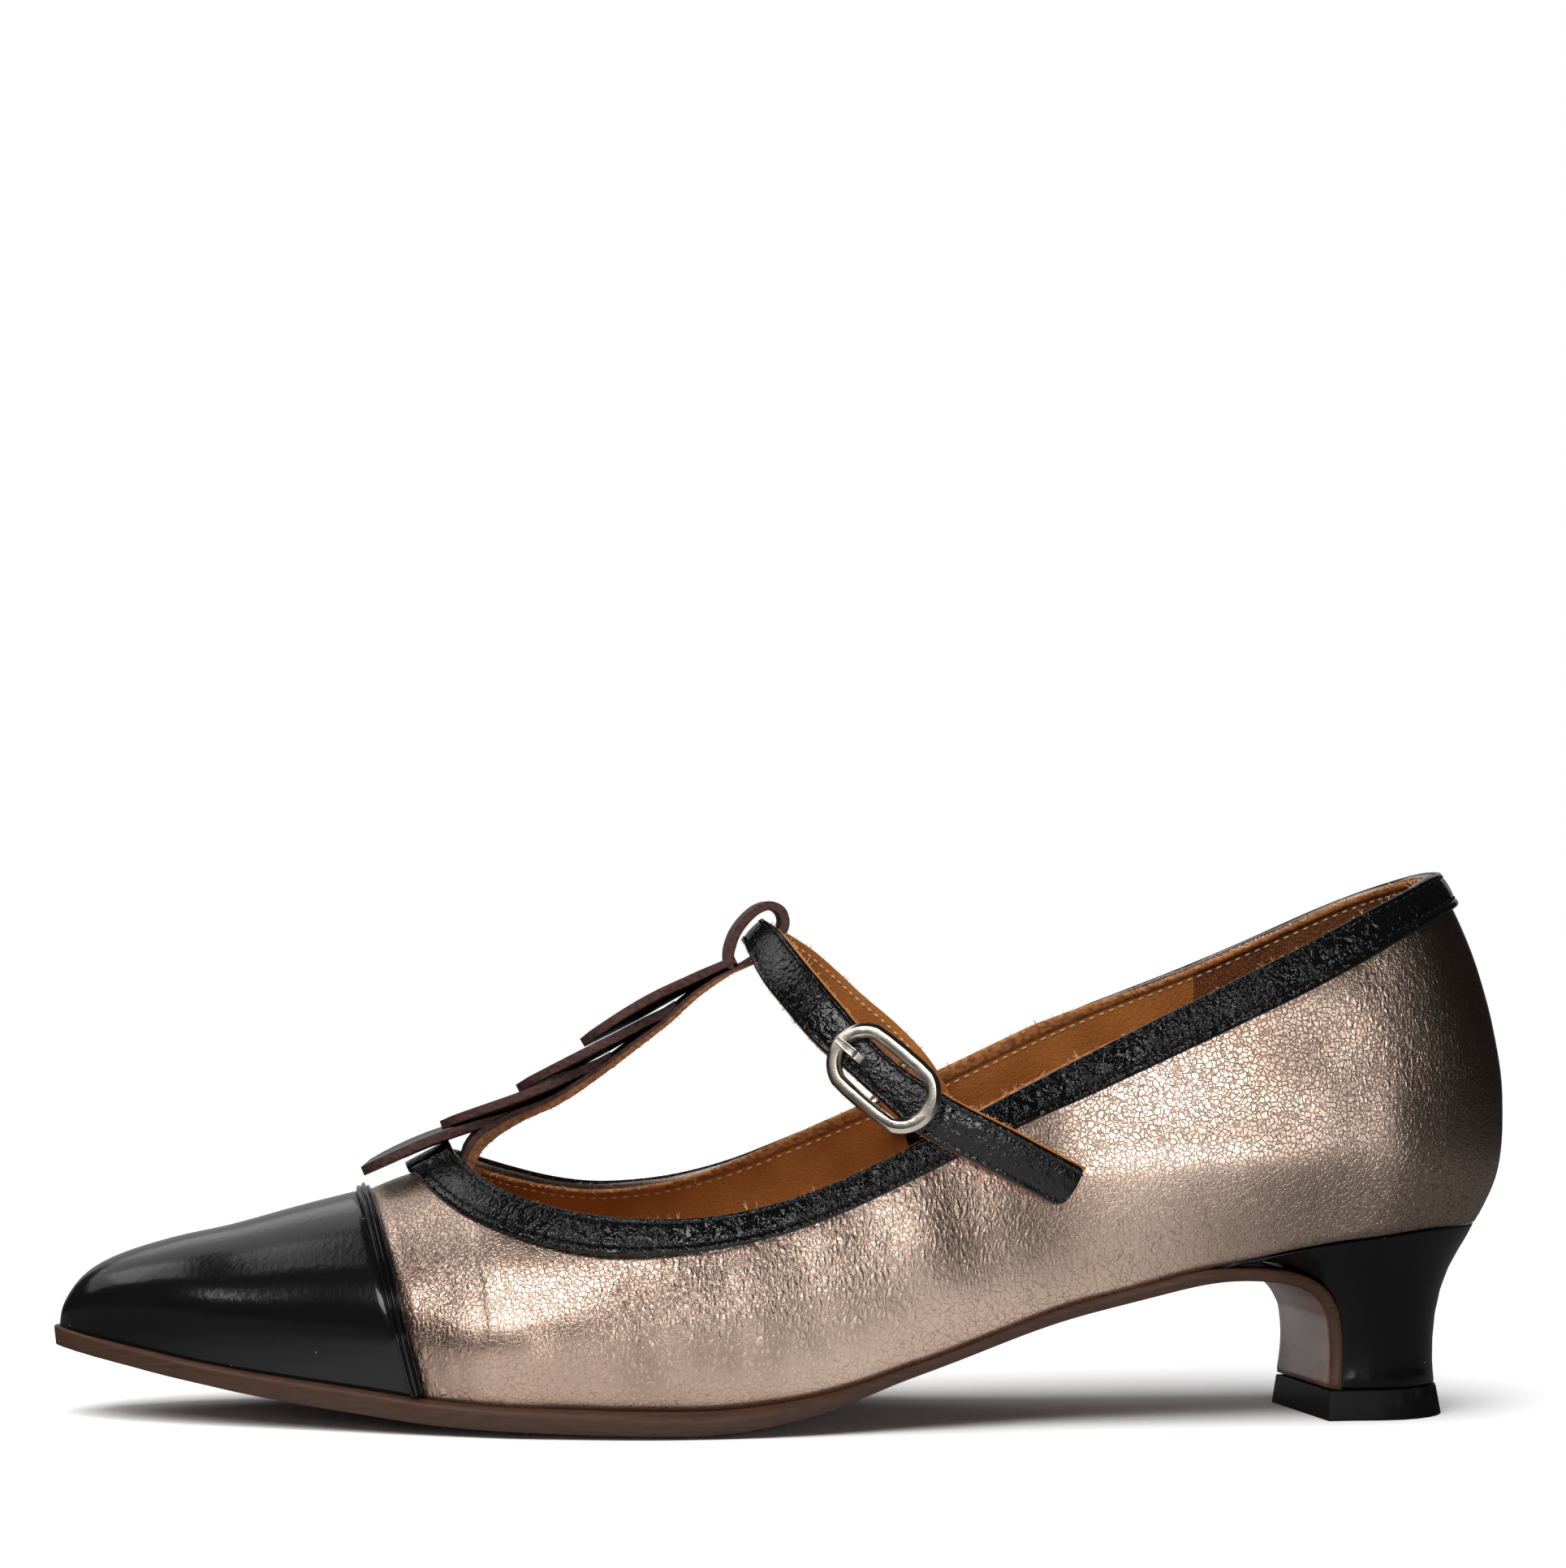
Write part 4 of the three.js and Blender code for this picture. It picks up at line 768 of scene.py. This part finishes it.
bindingForm = {
    "count": 260,
    # across from the top edge (-1) to the lower edge (1), out of the wall
    "profile": [(-1.0, -1.0), (-1.02, 0.2), (-0.96, 0.9), (-0.86, 1.1), (-0.76, 0.75), (-0.7, 0.72), (-0.62, 1.05), (-0.3, 1.25),
                (0.1, 1.28), (0.4, 1.1), (0.52, 0.78), (0.58, 0.75), (0.66, 1.2), (0.82, 1.45), (0.98, 1.1), (1.06, 0.2), (1.0, -1.0)],
    "stitchAt": (-0.73, 0.55),
    "stitch": {"length": 0.0015, "width": 0.00045, "height": 0.0004},
    "pitch": 0.0021,
}


def loopsOf(name, angle=60):
    bm = copyOf(name)
    chains = sorted(sharpChains(bm, angle), key=lengthOf)[-4:]
    bm.free()
    return chains


def bindingFrames():
    count = bindingForm["count"]
    loops = [resample(loop, count * 3, closed=True) for loop in loopsOf("topline_trim")]
    rails = []
    for loop in loops:
        clockwise = sum(a.x * b.y - b.x * a.y for a, b in zip(loop, loop[1:])) > 0
        if clockwise:
            loop.reverse()
        rails.append(loop)
    height = [sum(p.z for p in rail) / len(rail) for rail in rails]
    order = sorted(range(4), key=lambda i: height[i])
    low, high = [rails[i] for i in order[:2]], [rails[i] for i in order[2:]]
    low.sort(key=lengthOf)
    high.sort(key=lengthOf)
    innerLow, outerLow = low
    innerHigh, outerHigh = high
    frames = []
    for i in range(count):
        p = outerHigh[i * 3]

        def nearest(rail):
            return min(rail, key=lambda q: (q - p).length)
        a, b = nearest(innerHigh), nearest(outerLow)
        c = min(innerLow, key=lambda q: (q - b).length)
        centre = (p + a + b + c) / 4
        across = (b + c - p - a) / 4
        normal = (p + b - a - c) / 4
        frames.append([centre, across, normal])
    return smoothFrames(frames, 3)


def smoothFrames(frames, rounds):
    count = len(frames)
    for _ in range(rounds):
        frames = [[(frames[i - 1][k] + frames[i][k] * 2 + frames[(i + 1) % count][k]) / 4 for k in range(3)] for i in range(count)]
    return frames


def onFrame(frameAt, x, y):
    centre, across, normal = frameAt
    return centre + across * x + normal * y


def dressBinding():
    frames = bindingFrames()
    bm = bmesh.new()
    sweep(bm, bindingForm["profile"], frames, closed=True)
    showPiece(bm, "toplineBinding", ["trim"], ["topline_trim"], subdivide=1)
    bm = bmesh.new()
    loop = frames + [frames[0]]
    for x in bindingForm["stitchAt"]:
        points = [onFrame(f, x, 0.86) for f in loop]
        outs = [f[2] for f in loop]
        addStitches(bm, stitchRow(points, outs, bindingForm["pitch"]), bindingForm["stitch"])
    showPiece(bm, "bindingStitches", ["blackThread"])
    return frames


bindingRun = dressBinding()
print("binding dressed")


# T-bar, loop and petals

barForm = {
    "count": 130,
    "loopFrom": 0.70,       # where the bar narrows into its loop, share of its run
    "lift": 0.0021,         # how far the visible bar sits above the CAD bar between its ends
    "top": 0.0013,          # thickness of the dark layer and of the suede below it
    "suede": 0.0019,
    "profile": [(-1, -1), (-1.0, 0.0), (-0.985, 0.8), (-0.94, 1), (0, 1), (0.94, 1), (0.985, 0.8), (1.0, 0), (1, -1), (0.94, -1.05), (0, -1.05), (-0.94, -1.05)],
}


def dressBar():
    frames = stripFrames("t_bar", barForm["count"], lambda at: Vector((-0.6, 0, 0.8)))
    if (frames[0][0] - Vector((-0.171, 0.004, 0.0397))).length > (frames[-1][0] - Vector((-0.171, 0.004, 0.0397))).length:
        frames.reverse()
    split = int(len(frames) * barForm["loopFrom"])
    dark, tan = [], []
    for i, (centre, across, normal) in enumerate(frames):
        share = max(0.0, min(1.0, (i - split) / 6))
        out = normal.normalized()
        side = across.normalized()
        rough = 1 + noise.noise(centre * 900) * 0.05
        lift = barForm["lift"] * min(1.0, i / 14) * (1 - share)
        topAt = centre + out * (normal.length + lift)
        thick = barForm["top"] * (1 - share) + 2 * normal.length * share
        dark.append([topAt - out * thick / 2, side * across.length, out * thick / 2])
        if i < split + 6:
            below = barForm["suede"] * (1 - share * 0.6) * rough
            tan.append([topAt - out * (thick + below / 2 - 0.0001), side * across.length * 1.03 * rough, out * below / 2])
    run = (dark[-1][0] - dark[-3][0]).normalized()
    for step in range(1, 6):
        dark.append([dark[-1][0] + run * 0.0008 + Vector((0.00008 * step, 0, 0)), dark[-1][1], dark[-1][2]])
    bm = bmesh.new()
    sweep(bm, barForm["profile"], dark)
    showPiece(bm, "barLeather", ["rawBrown"], ["t_bar"], round=0.00012)
    bm = bmesh.new()
    sweep(bm, barForm["profile"], tan)
    showPiece(bm, "barLining", ["barSuede"], round=0.0002)
    return tan


barRun = dressBar()


petalForm = {               # degrees each petal hangs from its outer edge halfway along, and how far its root reaches on
    "petal_1": (8.0, 0.0019),
    "petal_2": (5.5, 0.0012),
    "petal_3": (5.5, 0.0012),
    "petal_4": (0.3, 0.0012),
}


def dressPetals():
    for name, (turn, reach) in petalForm.items():
        low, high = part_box(name)
        lean = Vector((-(high.z - low.z) * 0.85, 0, high.x - low.x)).normalized()

        def choose(centre, normal):
            return 0 if abs(normal.dot(lean)) > 0.7 else 1

        def shape(bm):
            tip, root = Vector((low.x, low.y, low.z)), Vector((high.x, low.y, high.z))
            run = (root - tip).normalized()
            for vert in bm.verts:
                away = (root - vert.co).dot(run) / (root - tip).length
                spin = Matrix.Rotation(-math.radians(turn) * math.sin(math.pi * (0.92 - 0.8 * min(1.0, max(0.0, away)))), 3, run)
                foot = root - run * (root - vert.co).dot(run)
                vert.co = foot + spin @ (vert.co - foot)
                if away < 0.12:
                    vert.co += run * reach - lean * 0.0004
        dressCopy(name, name.replace("_", ""), ["petalFace", "rawBrown"], choose=choose, round=0.00022, shape=shape)


dressPetals()
print("bar and petals dressed")


# Ankle strap

strapForm = {
    "count": 150,
    "top": [(-1.0, -0.25), (-1.02, 0.5), (-0.95, 0.95), (-0.84, 1.08), (-0.74, 0.82), (-0.66, 0.98), (-0.3, 1.12), (0.3, 1.12),
            (0.66, 0.98), (0.74, 0.82), (0.84, 1.08), (0.95, 0.95), (1.02, 0.5), (1.0, -0.25)],
    "lining": [(-1.03, -1.0), (-1.05, -0.3), (1.05, -0.3), (1.03, -1.0), (0.5, -1.02), (-0.5, -1.02)],
    "stitch": {"length": 0.0012, "width": 0.0004, "height": 0.0004},
    "pitch": 0.0017,
    "waist": {"at": 0.72, "wide": 0.06, "by": 0.17},     # narrower inside the buckle
}


def dressStrap():
    frames = stripFrames("ankle_strap", strapForm["count"], lambda at: Vector((0, at.y, 0.02 + at.z * 0.3)))
    if frames[0][0].y < frames[-1][0].y:
        frames.reverse()
    share = [i / (len(frames) - 1) for i in range(len(frames))]
    for at, f in zip(share, frames):
        f[1] *= 1 - strapForm["waist"]["by"] * math.exp(-((at - strapForm["waist"]["at"]) / strapForm["waist"]["wide"]) ** 4)
    centre, across, normal = frames[-1]
    run = (centre - frames[-3][0]).normalized()
    frames.append([centre + run * 0.0017 + across * 0.14, across * 0.86, normal])
    bm = bmesh.new()
    sweep(bm, strapForm["top"], frames)
    showPiece(bm, "strapPatent", ["strap"], ["ankle_strap"], subdivide=1)
    bm = bmesh.new()
    sweep(bm, strapForm["lining"], frames)
    showPiece(bm, "strapLining", ["lining"])
    bm = bmesh.new()
    for side in (-0.72, 0.72):
        upperRow = stitchRow([onFrame(f, side, 0.9) for f in frames], [f[2] for f in frames], strapForm["pitch"])
        addStitches(bm, upperRow, strapForm["stitch"])
    showPiece(bm, "strapStitches", ["blackThread"])
    bm = bmesh.new()
    for side in (-0.75, 0.75):
        lowerRow = stitchRow([onFrame(f, side, -1.04) for f in frames], [-f[2] for f in frames], strapForm["pitch"])
        addStitches(bm, lowerRow, strapForm["stitch"])
    showPiece(bm, "strapLiningStitches", ["creamThread"])
    return frames


strapRun = dressStrap()
dressCopy("buckle_tab", "buckleTab", ["strap"], round=0.0004)


def fatten(bm):             # the frame's band is a little fuller than its solid
    bm.normal_update()
    for vert in bm.verts:
        vert.co += vert.normal * 0.0003


dressCopy("buckle_frame", "buckleFrame", ["silver"], round=0.0005, shape=fatten)
dressCopy("buckle_prong", "buckleProng", ["silver"], angle=50, weight=0.6)
print("strap and buckle dressed")


# Raw edges, seams and fibres

edgeForm = {
    "band": (0.0001, 0.0013),   # the raw edge of the lining, depth below the rim
    "thick": 0.00042,
    "proud": 0.0013,        # how far it stands above the binding on the inner side
    "seam": 0.0020,
    "profile": [(-1.1, -1.2), (-1.15, 0.2), (-0.8, 1.0), (-0.2, 1.15), (0.5, 1.0), (1.0, 0.6), (1.1, -1.2)],
    "stitch": {"length": 0.0014, "width": 0.00042, "height": 0.00036},
    "pitch": 0.0020,
    "fibres": 300,
    "long": (0.0005, 0.0017),
    "thin": 0.00008,
}


def addFibres(bm, places, count, long, thin, up):
    for _ in range(count):
        at, out = random.choice(places)
        lean = (out * random.uniform(0.1, 1.0) + Vector([random.uniform(-0.8, 0.8) for _ in range(3)]) + up * random.uniform(0.1, 1.2)).normalized()
        size = random.uniform(*long)
        turn = lean.to_track_quat("Z", "Y").to_matrix().to_4x4()
        turn.translation = at + lean * size * 0.4
        bmesh.ops.create_cone(bm, cap_ends=True, segments=3, radius1=thin, radius2=thin * 0.4, depth=size, matrix=turn)


def dressLining(frames):
    mesh = upperPiece.data
    inner = [p.vertices[:] for p in mesh.polygons if p.material_index > 0]
    tree = BVHTree.FromPolygons([v.co for v in mesh.vertices], inner)

    def onLining(f, depth):
        out, down = f[2].normalized(), f[1].normalized()
        at, normal, _, _ = tree.find_nearest(onFrame(f, -1, -1) + down * depth - out * 0.0008)
        return at, (normal if normal.dot(out) < 0 else -normal)
    rim, seam, run = [], [], []
    for f in frames:
        a, normal = onLining(f, edgeForm["band"][0])
        b, _ = onLining(f, edgeForm["band"][1])
        a -= f[1].normalized() * edgeForm["proud"] * max(0.0, min(1.0, (150 - alongOf(a)) / 40, (alongOf(a) - 62) / 20)) * (1.0 if a.y > 0 else 0.3)
        rough = 1 + noise.noise(a * 700) * 0.35
        run.append([(a + b) / 2, (b - a) / 2 * (1 + noise.noise(a * 500) * 0.12), normal * edgeForm["thick"] * rough])
        rim.append((a + normal * edgeForm["thick"], normal))
        seam.append(onLining(f, edgeForm["seam"]))
    run = smoothFrames(run, 1)
    bm = bmesh.new()
    sweep(bm, edgeForm["profile"], run, closed=True)
    showPiece(bm, "liningEdge", ["rawTan"], subdivide=1)
    bm = bmesh.new()
    row = stitchRow([p for p, _ in seam + seam[:1]], [n for _, n in seam + seam[:1]], edgeForm["pitch"])
    addStitches(bm, row, edgeForm["stitch"])
    showPiece(bm, "liningStitches", ["creamThread"])
    bm = bmesh.new()
    addFibres(bm, rim, edgeForm["fibres"], edgeForm["long"], edgeForm["thin"], Vector((0, 0, 1)))
    showPiece(bm, "liningFibres", ["fibre"], smooth=False)


dressLining(bindingRun)


def dressFibres():
    bm = bmesh.new()
    places = []
    for f in strapRun:
        for side in (-1.03, 1.03):
            places.append((onFrame(f, side, -0.6), f[1].normalized() * (1 if side > 0 else -1)))
    addFibres(bm, places, 420, (0.0004, 0.0011), 0.00007, Vector())
    showPiece(bm, "strapFibres", ["fibre"], smooth=False)
    bm = bmesh.new()
    places = []
    for f in barRun[6:]:
        for side in (-1.0, 1.0):
            places.append((onFrame(f, side, -1.0), -f[2].normalized() + f[1].normalized() * side))
    addFibres(bm, places, 170, (0.0003, 0.0009), 0.00007, Vector())
    showPiece(bm, "barFibres", ["barSuede"], smooth=False)


dressFibres()

throatForm = {              # the folded end of the binding over the root of the bar
    "place": (-0.1716, 0.0040, 0.0462),
    "size": (0.0088, 0.0130, 0.0024),
    "slope": -24.0,
}


def dressThroat():
    bm = bmesh.new()
    bmesh.ops.create_cube(bm, size=1.0)
    bmesh.ops.subdivide_edges(bm, edges=bm.edges[:], cuts=3, use_grid_fill=True)
    bmesh.ops.scale(bm, vec=throatForm["size"], verts=bm.verts[:])
    for vert in bm.verts:
        ahead = -vert.co.x / throatForm["size"][0] + 0.5
        vert.co.z *= 1.0 - 0.55 * ahead
        vert.co.z -= 90.0 * vert.co.y ** 2 * 0.25
    turn = Matrix.Translation(throatForm["place"]) @ Matrix.Rotation(math.radians(throatForm["slope"]), 4, "Y")
    bmesh.ops.transform(bm, matrix=turn, verts=bm.verts[:])
    creaseSharp(bm, 50, 0.25)
    showPiece(bm, "throatFold", ["trim"], subdivide=2)


dressThroat()

holeForm = {"shares": (0.612, 0.747), "radius": 0.0005, "ring": 0.0002}


def dressHoles():           # punched holes with a pressed rim
    for number, share in enumerate(holeForm["shares"]):
        centre, across, normal = strapRun[int(share * (len(strapRun) - 1))]
        turn = frameMatrix(centre + normal * 1.1, across.normalized(), normal.normalized()) @ Matrix.Rotation(math.radians(90), 4, "X")
        bm = bmesh.new()
        bmesh.ops.create_circle(bm, cap_ends=False, segments=12, radius=holeForm["ring"], matrix=Matrix.Translation((holeForm["radius"], 0, 0)) @ Matrix.Rotation(math.radians(90), 4, "X"))
        bmesh.ops.spin(bm, geom=bm.verts[:] + bm.edges[:], cent=(0, 0, 0), axis=(0, 0, 1), angle=math.tau, steps=20, use_merge=True)
        bmesh.ops.recalc_face_normals(bm, faces=bm.faces[:])
        bmesh.ops.transform(bm, matrix=turn, verts=bm.verts[:])
        showPiece(bm, "strapHoleRim%d" % (number + 1), ["strap"])
        bm = bmesh.new()
        bmesh.ops.create_cone(bm, cap_ends=True, segments=20, radius1=holeForm["radius"], radius2=holeForm["radius"], depth=0.0001, matrix=turn)
        showPiece(bm, "strapHole%d" % (number + 1), ["rawBrown"], smooth=False)


dressHoles()
print("edges and seams dressed")


# Studio

studioForm = {
    "floor": 0.9,           # what the eye sees of the floor
    # and what polished surfaces see of it, a pool of light painted into its colour for reflections only: least, most,
    # and the X where it rises at the toe and falls at the heel
    "pool": {"least": 0.06, "most": 0.47, "toe": (-0.26, -0.19), "heel": (0.01, -0.06)},
    "ambient": 0.02,
    "fill": {"from": (-0.1, -0.35, 1.0), "angle": 60.0, "power": 4.2},
    "lights": [
        {"name": "frontBox", "place": (0.09, -1.25, 0.15), "aim": (-0.03, 0.0, 0.05),
         "size": (0.40, 0.30), "glow": 8.0},
        {"name": "keyBox", "place": (-0.70, -0.90, 0.80), "aim": (-0.15, 0.0, 0.04),
         "size": (0.66, 0.45), "glow": 7.5},
        {"name": "backBox", "place": (-0.75, 0.68, 0.84), "aim": (-0.18, 0.0, 0.04),
         "size": (1.5, 0.6), "glow": 0.8},
        {"name": "sideBox", "place": (-0.865, 0.29, 0.96), "aim": (-0.15, 0.0, 0.04),
         "size": (0.6, 0.45), "glow": 1.35},
    ],
    "cards": [
        {"name": "backdrop", "place": (-0.02, 1.3, 0.55),
         "size": (1.5, 1.2), "turn": (90.0, 0.0, -6.0), "glow": 0.4},
        {"name": "rightFlag", "place": (0.30, 0.0, 0.25),
         "size": (0.5, 1.2), "turn": (0.0, 90.0, 0.0), "glow": 0.0},
    ],
}


def makeStudio():
    scene = bpy.context.scene
    scene.view_settings.view_transform = "Standard"
    world = bpy.data.worlds.new("studio")
    scene.world = world
    world.use_nodes = True
    tree = world.node_tree
    background = tree.nodes["Background"]
    background.inputs["Color"].default_value = (1.0, 1.0, 1.0, 1.0)
    seen = put(tree, "ShaderNodeLightPath").outputs["Is Camera Ray"]
    tree.links.new(remap(tree, seen, 0.0, 1.0, studioForm["ambient"], 1.0), background.inputs["Strength"])

    def addCard(name, size, material, place=(0, 0, 0), turn=(0, 0, 0)):
        bm = bmesh.new()
        bmesh.ops.create_grid(bm, x_segments=1, y_segments=1, size=0.5)
        bmesh.ops.scale(bm, vec=(size[0], size[1], 1.0), verts=bm.verts[:])
        mesh = bpy.data.meshes.new(name)
        bm.to_mesh(mesh)
        bm.free()
        mesh.materials.append(material)
        card = bpy.data.objects.new(name, mesh)
        card.location = place
        card.rotation_euler = [math.radians(v) for v in turn]
        scene.collection.objects.link(card)
        return card

    pale, tree, shader, place = startMaterial("paleFloor", Roughness=0.8)
    pool = studioForm["pool"]
    across = put(tree, "ShaderNodeSeparateXYZ", None, Vector=place).outputs[0]
    toe = remap(tree, across, *pool["toe"])
    heel = remap(tree, math2(tree, "MULTIPLY", across, -1.0), -pool["heel"][0], -pool["heel"][1])
    # painted pool of light: the colour that reflections see of the floor, lighter between the toe and heel marks than
    # elsewhere
    level = math2(tree, "ADD", math2(tree, "MULTIPLY", math2(tree, "MULTIPLY", toe, heel), pool["most"] - pool["least"]), pool["least"])
    glossy = put(tree, "ShaderNodeLightPath").outputs["Is Glossy Ray"]
    seenAs = put(tree, "ShaderNodeMix", {"data_type": "FLOAT"}, i0=glossy, i2=studioForm["floor"], i3=level).outputs[0]
    tree.links.new(seenAs, shader.inputs["Base Color"])
    addCard("floor", (14.0, 14.0), pale)
    for row in studioForm["cards"]:
        paper, tree, shader, _ = startMaterial(row["name"], Roughness=0.9, Emission_Strength=row["glow"])
        shader.inputs["Base Color"].default_value = (0.0, 0.0, 0.0, 1.0)
        shader.inputs["Emission Color"].default_value = (1.0, 1.0, 1.0, 1.0)
        card = addCard(row["name"], row["size"], paper, row["place"], row["turn"])
        card.visible_camera = card.visible_diffuse = card.visible_shadow = False
    fill = studioForm["fill"]
    data = bpy.data.lights.new("fill", "SUN")
    data.angle = math.radians(fill["angle"])
    data.energy = fill["power"]
    light = bpy.data.objects.new("fill", data)
    light.rotation_euler = Vector(fill["from"]).to_track_quat("Z", "Y").to_euler()
    light.visible_glossy = False
    scene.collection.objects.link(light)
    for row in studioForm["lights"]:
        data = bpy.data.lights.new(row["name"], "AREA")
        data.shape = "RECTANGLE"
        data.size, data.size_y = row["size"]
        data.energy = row["glow"] * math.pi * row["size"][0] * row["size"][1]
        light = bpy.data.objects.new(row["name"], data)
        light.location = row["place"]
        light.rotation_euler = (Vector(row["aim"]) - Vector(row["place"])).to_track_quat("-Z", "Y").to_euler()
        scene.collection.objects.link(light)


makeStudio()
print("studio set")
